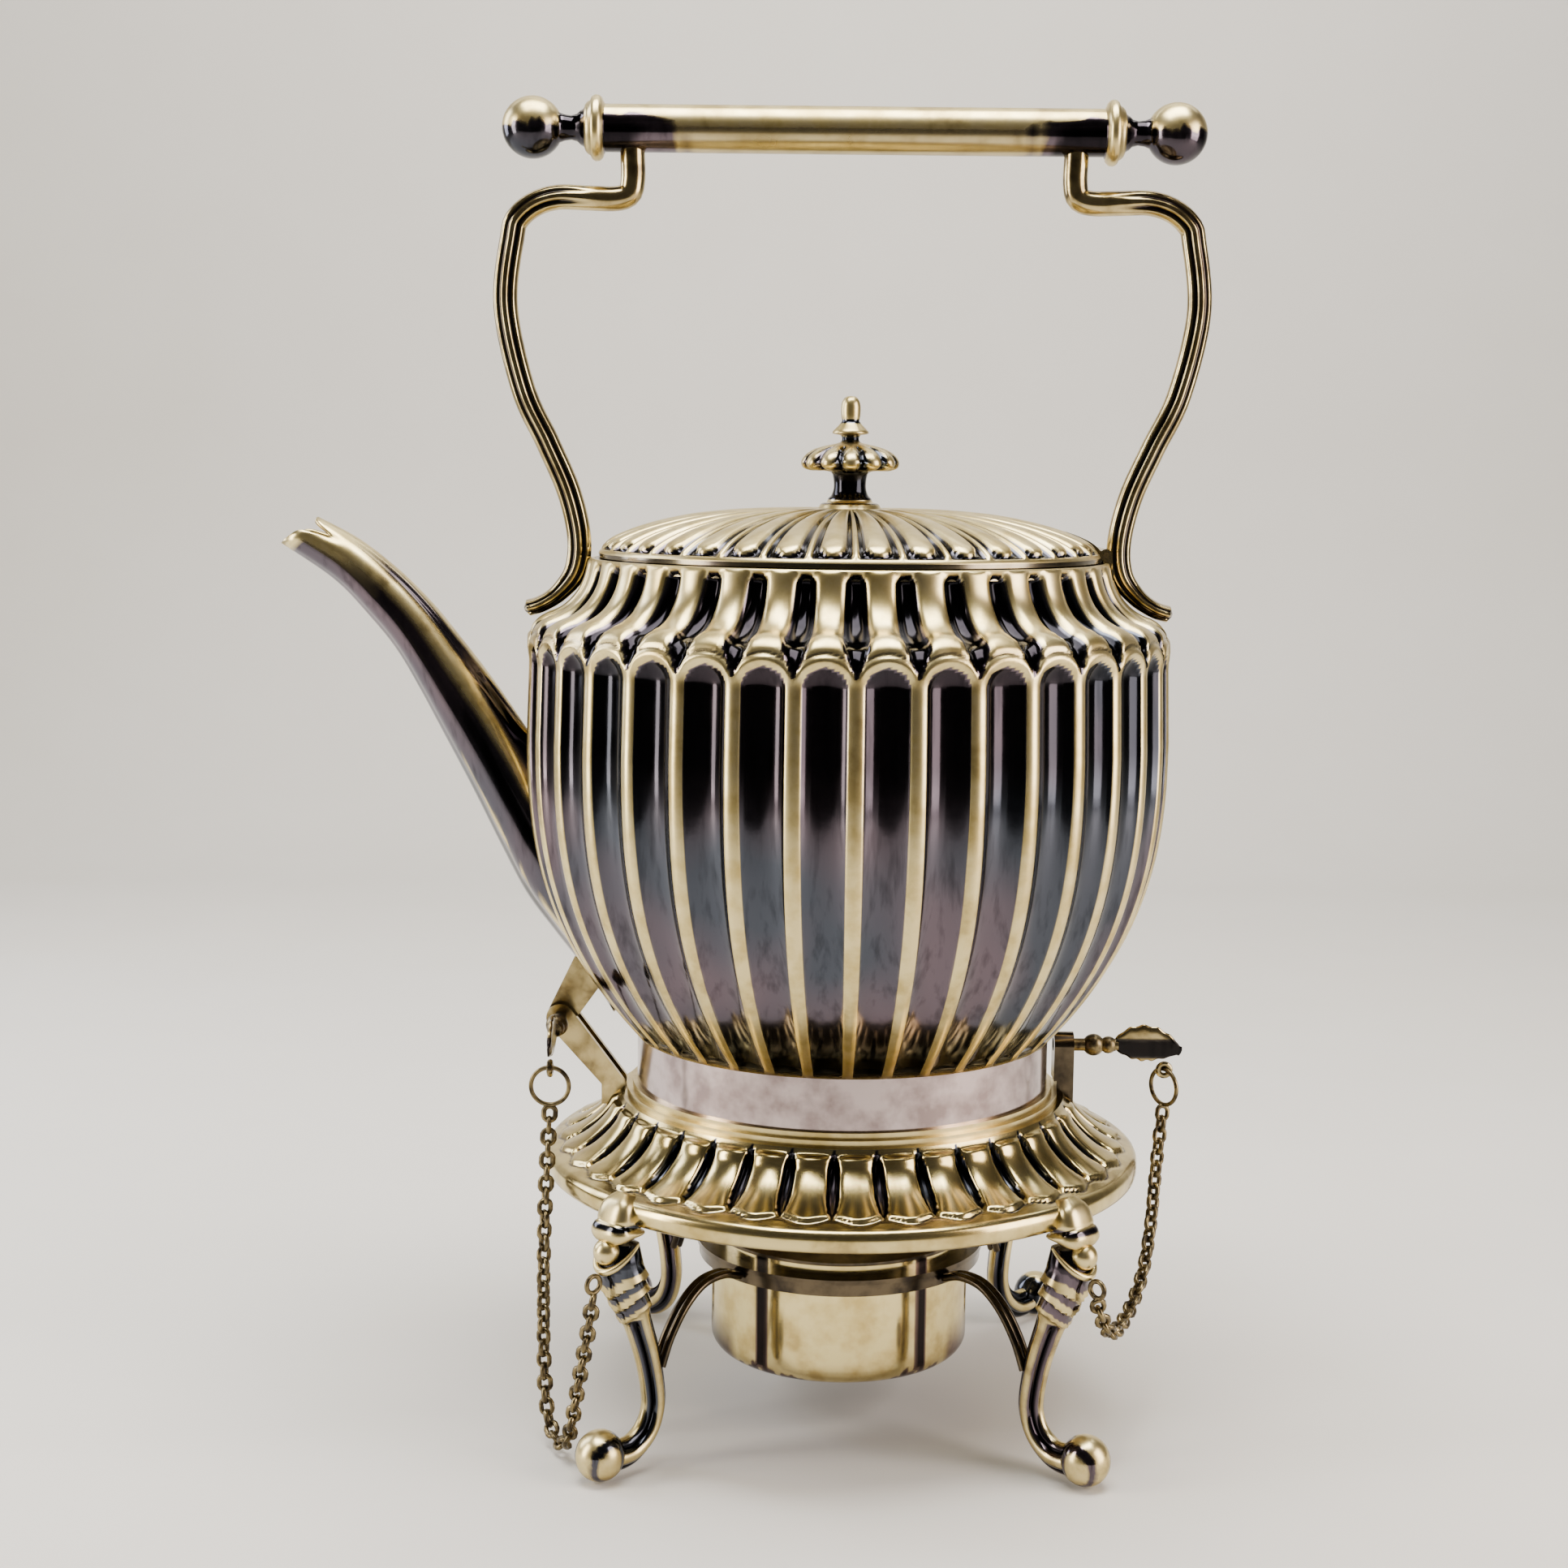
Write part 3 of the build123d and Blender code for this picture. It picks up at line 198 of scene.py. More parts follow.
def lathe(name: str, outline: list[tuple[float, float]], steps: int = 96, closed: bool = False,
          smooth_angle: float = 40.0) -> Object:
    """Turn a (radius, height) outline once round the upright axis.

    Args:
        name: the piece's name.
        outline: points in mm, bottom first when it is open.
        steps: how many segments go round.
        closed: whether the outline closes on itself.
        smooth_angle: edges sharper than this stay crisp.
    Returns:
        The turned mesh, with the outline's row number kept on each point.
    """
    obj = Bench.add(name, bpy.ops.mesh.primitive_circle_add, vertices=len(outline), radius=1.0)
    Bench.move(obj, np.array([(r, 0.0, z) for r, z in outline]) * MM)
    Bench.mark(obj, "row", np.arange(len(outline)))
    Bench.edit(obj)
    if not closed:
        bpy.ops.mesh.select_all(action="DESELECT")
        Bench.leave()
        for edge in obj.data.edges:
            edge.select = set(edge.vertices) == {0, len(outline) - 1}
        bpy.ops.object.mode_set(mode="EDIT")
        bpy.ops.mesh.select_mode(type="EDGE")
        bpy.ops.mesh.delete(type="EDGE")
        bpy.ops.mesh.select_mode(type="VERT")
        bpy.ops.mesh.select_all(action="SELECT")
    bpy.ops.mesh.spin(steps=steps, angle=2 * math.pi, center=(0, 0, 0), axis=(0, 0, 1))
    Bench.leave()
    return Bench.clean(obj, smooth_angle=smooth_angle)


def sheet_grid(name: str, rows: int, columns: int) -> tuple[Object, np.ndarray, np.ndarray]:
    """A flat grid to be laid over a form.

    Args:
        name: the piece's name.
        rows: points along the form.
        columns: points across or round it.
    Returns:
        The mesh, and each point's row and column number.
    """
    obj = Bench.add(name, bpy.ops.mesh.primitive_grid_add, x_subdivisions=rows - 1,
                    y_subdivisions=columns - 1, size=2.0)
    co = Bench.points(obj)
    i = np.rint((co[:, 0] + 1) / 2 * (rows - 1)).astype(int)
    j = np.rint((co[:, 1] + 1) / 2 * (columns - 1)).astype(int)
    return obj, i, j


def sweep(name: str, centres: np.ndarray, sections: np.ndarray, side=(0.0, 1.0, 0.0),
          smooth_angle: float = 40.0, hollow: np.ndarray | None = None) -> Object:
    """Carry a closed section along a line and close both ends.

    Args:
        name: the piece's name.
        centres: the line's points, in mm.
        sections: for each of them, the section's (across, up) points, in mm.
        side: the direction that "across" follows.
        smooth_angle: edges sharper than this stay crisp.
        hollow: how hollow each section point counts for the finish.
    Returns:
        The swept mesh.
    """
    rows, count = sections.shape[:2]
    along = unit_rows(np.gradient(centres, axis=0))
    across = unit_rows(np.asarray(side) - along * (along @ np.asarray(side))[:, None])
    up = np.cross(along, across)
    obj, i, j = sheet_grid(name, rows, count + 1)
    s = sections[i, j % count]
    Bench.move(obj, (centres[i] + across[i] * s[:, :1] + up[i] * s[:, 1:]) * MM)
    if hollow is not None:
        Bench.mark(obj, "hollow", np.clip(hollow, 0, 1)[i, j % count])
    return Bench.clean(obj, close=True, smooth_angle=smooth_angle)


def ease(t: np.ndarray | float) -> np.ndarray:
    """A smooth step from 0 to 1."""
    t = np.clip(t, 0.0, 1.0)
    return t * t * (3 - 2 * t)


def bell(t: np.ndarray) -> np.ndarray:
    """A smooth hump, 1 in its middle at t = 0."""
    return np.exp(-t ** 2)


def turns(count: int) -> np.ndarray:
    """Even angles once round."""
    return np.linspace(0, 2 * math.pi, count, endpoint=False)


def run_along(line: np.ndarray) -> np.ndarray:
    """The distance along a line at each of its points."""
    return np.r_[0, np.cumsum(np.linalg.norm(np.diff(line, axis=0), axis=1))]


def unit_rows(rows: np.ndarray) -> np.ndarray:
    """The rows of an array, each made 1 long."""
    return rows / np.linalg.norm(rows, axis=1, keepdims=True)


def upright(line: np.ndarray, y: float = 0.0) -> np.ndarray:
    """Stand a flat line up in the plane at y."""
    return np.stack([line[:, 0], np.full(len(line), y), line[:, 1]], axis=1)


def smooth_line(points: list[tuple[float, ...]], count: int) -> np.ndarray:
    """A smooth line through points, evenly spaced by length.

    Args:
        points: the points to pass through.
        count: how many points come back.
    Returns:
        The line's points.
    """
    p = np.asarray(points, float)
    ext = np.vstack([2 * p[0] - p[1], p, 2 * p[-1] - p[-2]])
    fine = []
    for a, b, c, d in zip(ext, ext[1:], ext[2:], ext[3:]):
        t = np.linspace(0, 1, 24, endpoint=False)[:, None]
        fine.append(0.5 * (2 * b + (c - a) * t + (2 * a - 5 * b + 4 * c - d) * t ** 2
                           + (3 * b - a - 3 * c + d) * t ** 3))
    fine = np.vstack(fine + [p[-1:]])
    run = run_along(fine)
    want = np.linspace(0, run[-1], count)
    return np.stack([np.interp(want, run, fine[:, k]) for k in range(fine.shape[1])], axis=1)


def place(obj: Object, turn: float = 0.0) -> Object:
    """Turn a piece round the upright axis, then move it to the kettle's axis, in its points.

    Args:
        obj: the mesh object, at the origin.
        turn: the turn, in radians.
    Returns:
        The same object.
    """
    obj.data.transform(Matrix.Translation((AXIS_X * MM, 0, 0)) @ Matrix.Rotation(turn, 4, "Z"))
    obj.data.update()
    return obj


# ---------------------------------------------------------------- finishes
def linear(code: str) -> tuple[float, float, float, float]:
    """Turn an sRGB hex colour into the linear numbers a shader takes.

    Args:
        code: six hex digits.
    Returns:
        Linear red, green and blue, and full alpha.
    """
    values = [int(code[i:i + 2], 16) / 255 for i in (0, 2, 4)]
    return tuple(v / 12.92 if v <= 0.04045 else ((v + 0.055) / 1.055) ** 2.4 for v in values) + (1.0,)


class Recipe:
    """One material while its nodes are being laid."""

    def __init__(self, name: str) -> None:
        self.material = bpy.data.materials.new(name)
        self.material.use_nodes = True
        self.tree = self.material.node_tree
        self.tree.nodes.clear()
        self.surface = self.add("ShaderNodeBsdfPrincipled")
        self.add("ShaderNodeOutputMaterial", Surface=self.surface.outputs["BSDF"])

    def feed(self, socket: NodeSocket, value) -> None:
        """Link another node's output to an input, or set the input's own value."""
        if isinstance(value, NodeSocket):
            self.tree.links.new(value, socket)
        else:
            socket.default_value = value

    def add(self, kind: str, settings: dict | None = None, **values) -> Node:
        """Add one node.

        Args:
            kind: the node's type.
            settings: its properties.
            values: numbers or sockets for its inputs, by name with _ for a space.
        Returns:
            The node.
        """
        node = self.tree.nodes.new(kind)
        for key, value in (settings or {}).items():
            setattr(node, key, value)
        for key, value in values.items():
            self.feed(node.inputs[int(key[1:]) if key[1:].isdigit() else key.replace("_", " ")], value)
        return node

    def noise(self, size_mm: float, detail: float = 3.0, stretch=(1.0, 1.0, 1.0)) -> NodeSocket:
        """Soft noise whose patches are about size_mm across.

        Args:
            size_mm: the patches' size.
            detail: how much finer noise is added.
            stretch: scale by axis.
        Returns:
            The noise, 0 to 1.
        """
        own = self.add("ShaderNodeTexCoord").outputs["Object"]
        mapping = self.add("ShaderNodeMapping", Vector=own, Scale=stretch)
        return self.add("ShaderNodeTexNoise", Vector=mapping.outputs[0], Scale=1.0 / (size_mm * MM),
                        Detail=detail, Roughness=0.55).outputs["Fac"]

    def ramp(self, value: NodeSocket, low: float, high: float, to_low: float = 0.0,
             to_high: float = 1.0) -> NodeSocket:
        """Stretch a range of values over another one, and clamp it."""
        return self.add("ShaderNodeMapRange", Value=value, From_Min=low, From_Max=high, To_Min=to_low,
                        To_Max=to_high).outputs["Result"]

    def maths(self, how: str, a, b) -> NodeSocket:
        """One sum of two numbers or sockets."""
        return self.add("ShaderNodeMath", {"operation": how}, _0=a, _1=b).outputs[0]

    def mix(self, share, a, b) -> NodeSocket:
        """Mix two colours, each a socket or a hex code."""
        node = self.tree.nodes.new("ShaderNodeMix")
        node.data_type = "RGBA"
        for index, value in ((0, share), (6, a), (7, b)):
            self.feed(node.inputs[index], linear(value) if isinstance(value, str) else value)
        return node.outputs[2]

    def mark(self, name: str) -> NodeSocket:
        """A number stored on the points."""
        return self.add("ShaderNodeAttribute", {"attribute_name": name}).outputs["Fac"]

    def bump(self, height: NodeSocket, depth_mm: float, strength: float = 1.0) -> None:
        """Raise the surface a little by a pattern."""
        node = self.add("ShaderNodeBump", Strength=strength, Distance=depth_mm * MM, Height=height)
        self.set(Normal=node.outputs["Normal"])

    def set(self, **values) -> None:
        """Give the surface its numbers or sockets."""
        for key, value in values.items():
            self.feed(self.surface.inputs[key.replace("_", " ")], value)


@dataclass(frozen=True)
class PlatedMetal:
    """Old plate: softly worn gold on the high places, glossy slate and mauve tarnish in the hollows.

    The ridges give the eye even warm light lines, the hollows sharp near-black reflections. On some pieces the hollow
    mark also carries painted shade and painted dark reflections, which this material darkens like tarnish.
    """

    name: str
    bright: str = "D6C590"
    warm: str = "BBA76C"
    slate: str = "434750"
    mauve: str = "5D535B"
    black: str = "0F0F12"
    polish: float = 0.30
    dull: float = 0.12
    tarnish: float = 0.2

    def make(self) -> Material:
        """Build the material.

        Returns:
            The material.
        """
        r = Recipe(self.name)
        hollow = r.mark("hollow")
        patch = r.noise(55.0, 2.0)
        cloud = r.noise(7.0, 4.0)
        streak = r.noise(2.4, 3.0, (1.0, 1.0, 0.12))
        high = r.mix(r.ramp(cloud, 0.40, 0.66), self.bright, self.warm)
        low = r.mix(r.ramp(patch, 0.42, 0.60), self.slate, self.mauve)
        low = r.mix(r.ramp(streak, 0.50, 0.72, 0.0, 0.45), low, self.black)
        low = r.mix(r.ramp(hollow, 0.70, 1.0, 0.0, 0.92), low, self.black)
        stain = r.maths("MULTIPLY", r.ramp(cloud, 0.52, 0.70), r.ramp(patch, 0.45, 0.70, 0.0, self.tarnish * 2))
        # the share of tarnish colour: real tarnish, plus painted shade and painted dark reflection where pieces put
        # them in the hollow mark
        tarnish_and_shade = r.maths("MINIMUM", r.maths("ADD", r.ramp(hollow, 0.10, 0.50), stain), 1.0)
        r.set(Base_Color=r.mix(tarnish_and_shade, high, low), Metallic=1.0,
              Roughness=r.maths("ADD", r.ramp(tarnish_and_shade, 0.0, 1.0, self.polish, self.dull),
                                r.ramp(cloud, 0.3, 0.7, -0.02, 0.04)))
        r.bump(r.noise(3.0, 2.0), 0.03, 0.30)
        return r.material


@dataclass(frozen=True)
class DarkMetal:
    """Bare metal gone brown with age, for pins, rings and chains."""

    name: str
    light: str = "8A7B58"
    dark: str = "3A3328"
    rough: float = 0.34

    def make(self) -> Material:
        """Build the material.

        Returns:
            The material.
        """
        r = Recipe(self.name)
        grain = r.noise(2.5, 4.0)
        r.set(Base_Color=r.mix(r.ramp(grain, 0.35, 0.65), self.light, self.dark), Metallic=1.0,
              Roughness=r.ramp(grain, 0.3, 0.7, self.rough - 0.08, self.rough + 0.12))
        r.bump(r.noise(0.6, 2.0), 0.02, 0.4)
        return r.material


@dataclass(frozen=True)
class Cotton:
    """Singed cotton of the wick: pale strands, brown towards the top."""

    name: str

    def make(self) -> Material:
        """Build the material.

        Returns:
            The material.
        """
        r = Recipe(self.name)
        strands = r.noise(0.8, 3.0, (1.0, 1.0, 0.15))
        r.set(Base_Color=r.mix(r.ramp(strands, 0.3, 0.7), "CFC4AC", "6B5B47"), Roughness=0.95)
        r.bump(strands, 0.2, 0.8)
        return r.material


@dataclass(frozen=True)
class Paper:
    """The matt ground that everything stands on."""

    name: str
    colour: str
    mottle: str = "C9C5BE"

    def make(self) -> Material:
        """Build the material.

        Returns:
            The material.
        """
        r = Recipe(self.name)
        grain = r.noise(60.0, 2.0)
        r.set(Base_Color=r.mix(r.ramp(grain, 0.2, 0.8, 0.0, 0.35), self.colour, self.mottle), Roughness=0.85)
        return r.material


class Finish(Enum):
    """The finishes of the kettle and its stand."""

    BODY = PlatedMetal("silver plate, tarnished in the flutes")
    BRIGHT = PlatedMetal("silver plate, rubbed bright on the lobes", bright="D2C086", warm="B09C62", tarnish=0.2,
                         polish=0.19, dull=0.14)
    AGED = PlatedMetal("silver plate, brown with handling", bright="C2B07E", warm="8C7A50", slate="3A3733",
                       mauve="4C423C", tarnish=0.5, polish=0.18, dull=0.16)
    # a darkened copy of the plate: painted shade for pieces under the skirt and the lid
    SOOTY = PlatedMetal("silver plate, sooty under the skirt", bright="5A5040", warm="38322A", slate="222026",
                        mauve="2C2826", tarnish=0.6, polish=0.2, dull=0.2)
    PLAIN = PlatedMetal("silver plate, plain mauve bands", bright="B8A9A8", warm="8F7F7E", slate="5E585E",
                        mauve="8A7A7C", tarnish=0.7, polish=0.16, dull=0.2)
    GILT = PlatedMetal("burner brass, wiped bright", bright="DCCB92", warm="C4AF70", slate="4A4238",
                       mauve="6E5C54", tarnish=0.15, polish=0.12, dull=0.2)
    DARK = DarkMetal("brown bronze of pins and chains")
    COTTON = Cotton("singed cotton wick")


MATERIALS: dict[Finish, Material] = {}


def finish(obj: Object, kind: Finish) -> Object:
    """Give a piece its finish.

    Args:
        obj: the piece, or a node of the frame.
        kind: the finish.
    Returns:
        The same object.
    """
    if kind not in MATERIALS:
        MATERIALS[kind] = kind.value.make()
    obj.data.materials.clear()
    obj.data.materials.append(MATERIALS[kind])
    return obj


def fit(obj: Object, kind: Finish, body: str, *nodes: str) -> Object:
    """Finish a piece, make it move with its body and let it stand for its nodes.

    Args:
        obj: the piece, already in place.
        kind: the finish.
        body: the body it moves with.
        nodes: the frame's nodes it stands for.
    Returns:
        The same object.
    """
    finish(obj, kind)
    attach(obj, body)
    if nodes:
        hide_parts(*nodes)
    return obj


# ---------------------------------------------------------------- the studio
@dataclass
class Studio:
    """Camera, soft lights and a pale floor that curves up behind the kettle."""

    eye: tuple[float, float, float] = (11.16, -586.0, 236.6)
    tilt: float = 0.1322
    roll: float = math.radians(0.6)
    lens: float = 54.04
    sensor: float = 36.0
    floor_tone: str = "D0CEC9"
    air_tone: str = "8C8884"
    air_light: float = 0.22
    floor_reach: float = 2600.0
    wall_y: float = 1010.0
    wall_height: float = 1300.0
    wall_bend: float = 260.0
    floor_drop: float = 0.15

    def camera(self) -> None:
        """Set up the camera."""
        bpy.ops.object.camera_add(location=Vector(self.eye) * MM)
        cam = bpy.context.object
        cam.rotation_euler = (Matrix.Rotation(math.pi / 2 - self.tilt, 3, "X")
                              @ Matrix.Rotation(self.roll, 3, "Z")).to_euler()
        cam.data.lens = self.lens
        cam.data.sensor_width = self.sensor
        cam.data.clip_start = 0.02
        bpy.context.scene.camera = cam

    def softbox(self, place_mm, aim_mm, size_mm, watts: float, colour="FFF6E8") -> None:
        """Hang one soft lamp.

        Args:
            place_mm: where it hangs.
            aim_mm: what it points at.
            size_mm: its width and height.
            watts: its power.
            colour: its colour.
        """
        bpy.ops.object.light_add(type="AREA", location=Vector(place_mm) * MM)
        lamp = bpy.context.object
        lamp.data.shape = "RECTANGLE"
        lamp.data.size, lamp.data.size_y = size_mm[0] * MM, size_mm[1] * MM
        lamp.data.energy = watts
        lamp.data.color = linear(colour)[:3]
        aim = Vector(aim_mm) * MM - lamp.location
        lamp.rotation_euler = aim.to_track_quat("-Z", "Y").to_euler()

    def dark_card(self) -> None:
        """Stand a black card in front, which only the polished metal sees."""
        card, i, j = sheet_grid("dark studio card", 2, 2)
        left, right, near, high = -1150.0, 430.0, -640.0, 640.0
        co = np.stack([left + (right - left) * i, np.full(len(i), near), high * j], axis=1)
        Bench.move(card, co * MM)
        card.data.materials.append(Paper("black matt card", "0B0B0C", "101012").make())
        card.visible_camera = card.visible_shadow = card.visible_diffuse = False

    def build(self) -> None:
        """Lay the floor and hang the lamps."""
        start, bend = self.wall_y - self.wall_bend, self.wall_bend
        line = [(-self.floor_reach, 0.0), (start, 0.0)]
        line += [(start + bend * math.sin(a), bend - bend * math.cos(a)) for a in np.linspace(0, math.pi / 2, 14)[1:]]
        line = np.array(line + [(self.wall_y, self.wall_height)])
        floor, i, j = sheet_grid("pale floor", len(line), 2)
        across = (j * 2 - 1) * self.floor_reach
        Bench.move(floor, np.stack([across, line[i, 0], line[i, 1] - self.floor_drop], axis=1) * MM)
        Bench.clean(floor, smooth_angle=60)
        floor.data.materials.append(Paper("pale matt paper", self.floor_tone).make())
        world = bpy.data.worlds.new("studio")
        bpy.context.scene.world = world
        world.use_nodes = True
        air = world.node_tree.nodes["Background"]
        air.inputs[0].default_value = linear(self.air_tone)
        air.inputs[1].default_value = self.air_light
        self.dark_card()
        self.softbox((-760, -250, 330), (0, 0, 150), (200, 620), 7.0)
        self.softbox((720, -300, 330), (20, 0, 150), (420, 620), 9.0, "FFF0E6")
        self.softbox((30, -90, 980), (0, 40, 100), (760, 460), 19.0, "FFFBF4")
        self.softbox((-640, 260, 420), (0, 0, 150), (240, 560), 4.0, "F2F4FF")
        self.softbox((0, 560, 1000), (0, 1010, 330), (1400, 300), 8.0, "FFFBF4")


# ---------------------------------------------------------------- chains
@dataclass
class SafetyChain:
    """A belcher chain that hangs from a pin's ring to the stand's leg."""

    name: str
    node: str
    length: float
    route: list[tuple[float, float, float]]
    width: float = 4.2
    wire: float = 0.66
    link: float = 4.9
    step: float = 2.9
    obj: Object = field(default=None, repr=False)
    path: list = field(default=None, repr=False)

    def line(self) -> np.ndarray:
        """The chain's middle line, read from a smooth curve through its hanging points.

        Returns:
            Points in metres.
        """
        curve = bpy.data.curves.new(self.name + " line", "CURVE")
        curve.dimensions = "3D"
        spline = curve.splines.new("NURBS")
        spline.points.add(len(self.route) - 1)
        for point, co in zip(spline.points, self.route):
            point.co = (*co, 1.0)
        spline.order_u = 3
        spline.use_endpoint_u = True
        spline.resolution_u = 12
        holder = bpy.data.objects.new(self.name + " line", curve)
        mesh = bpy.data.meshes.new_from_object(holder)
        line = np.array([v.co for v in mesh.vertices], float)
        bpy.data.objects.remove(holder)
        bpy.data.meshes.remove(mesh)
        return line

    def build(self) -> None:
        """Make the links along the line, each turned a quarter from the last."""
        line = self.line()
        run = run_along(line)
        count = int(round(run[-1] / (self.step * MM)))
        seed = Bench.add("link", bpy.ops.mesh.primitive_torus_add, major_segments=14, minor_segments=6,
                         major_radius=(self.width / 2 - self.wire) * MM, minor_radius=self.wire * MM)
        co = Bench.points(seed)
        stretch = (self.link - self.width) / 2 * MM
        co[:, 0] += np.sign(co[:, 0]) * stretch * (np.abs(co[:, 0]) > 1e-6)
        Bench.move(seed, co)
        links = []
        for k in range(count):
            s = (k + 0.5) / count * run[-1]
            behind, at, ahead = [Vector([np.interp(d, run, line[:, a]) for a in range(3)])
                                 for d in (s - 0.0012, s, s + 0.0012)]
            turn = (ahead - behind).to_track_quat("X", "Y")
            spin = Matrix.Rotation(math.radians(42 + 90 * (k % 2)), 4, "X")
            link = bpy.data.objects.new(f"link {k}", seed.data.copy())
            link.data.transform(Matrix.Translation(at) @ turn.to_matrix().to_4x4() @ spin)
            bpy.context.scene.collection.objects.link(link)
            links.append(link)
        bpy.data.objects.remove(seed)
        self.obj = Bench.join(self.name, links)
        Bench.pick(self.obj)
        bpy.ops.object.shade_smooth()
        self.path = line.tolist()

    def dress(self) -> None:
        """Finish the chain, hang it on the stand and hide the frame node it stands for."""
        fit(self.obj, Finish.DARK, "stand", self.node)


TILT_CHAIN_ROUTE = [
    (-0.044845, -0.02998, 0.08285), (-0.045845, -0.031, 0.064), (-0.046245, -0.0323, 0.046),
    (-0.046245, -0.0333, 0.030), (-0.046045, -0.034, 0.0186), (-0.045545, -0.0346, 0.0095),
    (-0.044245, -0.0372, 0.0046), (-0.041745, -0.042, 0.0026), (-0.039345, -0.0468, 0.0046),
    (-0.038045, -0.0494, 0.0095), (-0.036745, -0.0516, 0.0176), (-0.034945, -0.0546, 0.028),
    (-0.033145, -0.0572, 0.0376), (-0.031965, -0.05862, 0.0457)]
LOCK_CHAIN_ROUTE = [
    (0.108935, 0.0, 0.07635), (0.107055, -0.003, 0.062), (0.105255, -0.010, 0.0485),
    (0.101255, -0.023, 0.038), (0.094055, -0.040, 0.0326), (0.088255, -0.054, 0.0354),
    (0.085275, -0.05862, 0.0457)]


# ---------------------------------------------------------------- kettle body
# where a pitch's points lie, closest together at the edges of its ridge
FLUTE_SPACING = np.array([0.0, 0.055, 0.10, 0.125, 0.145, 0.18, 0.24, 0.32, 0.41, 0.5,
                          0.59, 0.68, 0.76, 0.82, 0.855, 0.875, 0.90, 0.945])


def outline_normals(outline: np.ndarray) -> np.ndarray:
    """Outward normals of a (radius, height) line that is walked upwards.

    Args:
        outline: the line's points.
    Returns:
        One unit normal for each point.
    """
    d = np.gradient(outline, axis=0)
    return unit_rows(np.stack([d[:, 1], -d[:, 0]], axis=1))


@dataclass
class FlutedShell:
    """A turned shell whose outside is worked in even pitches round the axis.

    Every point knows its place within a pitch (0 and 1 at a ridge, 0.5 in the middle of the
    hollow) and its distance along the outline, and a subclass says how far it is raised there.
    """

    name: str
    phase: float = 0.0
    soften: float = 2.6

    def outside(self) -> np.ndarray:
        """The worked line, bottom first."""
        raise NotImplementedError

    def inside(self) -> list[tuple[float, float]]:
        """The plain inner line, top first, which closes the shell."""
        raise NotImplementedError

    def relief(self, u: np.ndarray, run: np.ndarray, r: np.ndarray, z: np.ndarray):
        """How far the surface is raised, and how hollow it counts for the finish.

        Args:
            u: the place within a pitch.
            run: the distance along the outline, in mm.
            r: the radius, in mm.
            z: the height, in mm.
        Returns:
            The rise in mm, and the hollowness from 0 to 1.
        """
        raise NotImplementedError

    def build(self) -> Object:
        """Turn the shell and work its outside.

        Returns:
            The mesh, on the origin's axis.
        """
        line = self.outside()
        count = len(line)
        obj = lathe(self.name, [tuple(p) for p in line] + self.inside(), FLUTES * len(FLUTE_SPACING),
                    closed=True, smooth_angle=55)
        run = run_along(line)
        near = bell((run[:, None] - run[None]) / self.soften)
        normals = (near / near.sum(1, keepdims=True)) @ outline_normals(line)
        co = Bench.points(obj)
        row = np.zeros(len(co), np.float32)
        obj.data.attributes["row"].data.foreach_get("value", row)
        row = np.rint(row).astype(int)
        angle = np.arctan2(co[:, 1], co[:, 0]) - FRONT
        step = np.rint(angle / PITCH * len(FLUTE_SPACING)).astype(int)
        u = FLUTE_SPACING[step % len(FLUTE_SPACING)]
        turn = (np.floor_divide(step, len(FLUTE_SPACING)) + u + self.phase) * PITCH + FRONT
        worked = row < count
        k = np.minimum(row, count - 1)
        rise, hollow = self.relief(u, run[k], line[k, 0], line[k, 1])
        rise, hollow = np.where(worked, rise, 0.0), np.where(worked, hollow, 0.35)
        radius = np.hypot(co[:, 0], co[:, 1])
        radius = np.where(worked, radius + normals[k, 0] * rise * MM, radius)
        z = np.where(worked, co[:, 2] + normals[k, 1] * rise * MM, co[:, 2])
        Bench.move(obj, np.stack([radius * np.cos(turn), radius * np.sin(turn), z], axis=1))
        Bench.mark(obj, "hollow", hollow)
        return place(obj)


def round_hollow(q: np.ndarray, half: np.ndarray, radius: float) -> np.ndarray:
    """Depth of a channel cut with a round cutter.

    Args:
        q: the distance from its middle as a share of its half width.
        half: the half width, in mm.
        radius: the cutter's radius, in mm.
    Returns:
        The depth, in mm, nothing outside the channel.
    """
    floor = np.sqrt(np.maximum(radius ** 2 - (np.minimum(q, 1) * half) ** 2, 0))
    return floor - np.sqrt(np.maximum(radius ** 2 - half ** 2, 0))


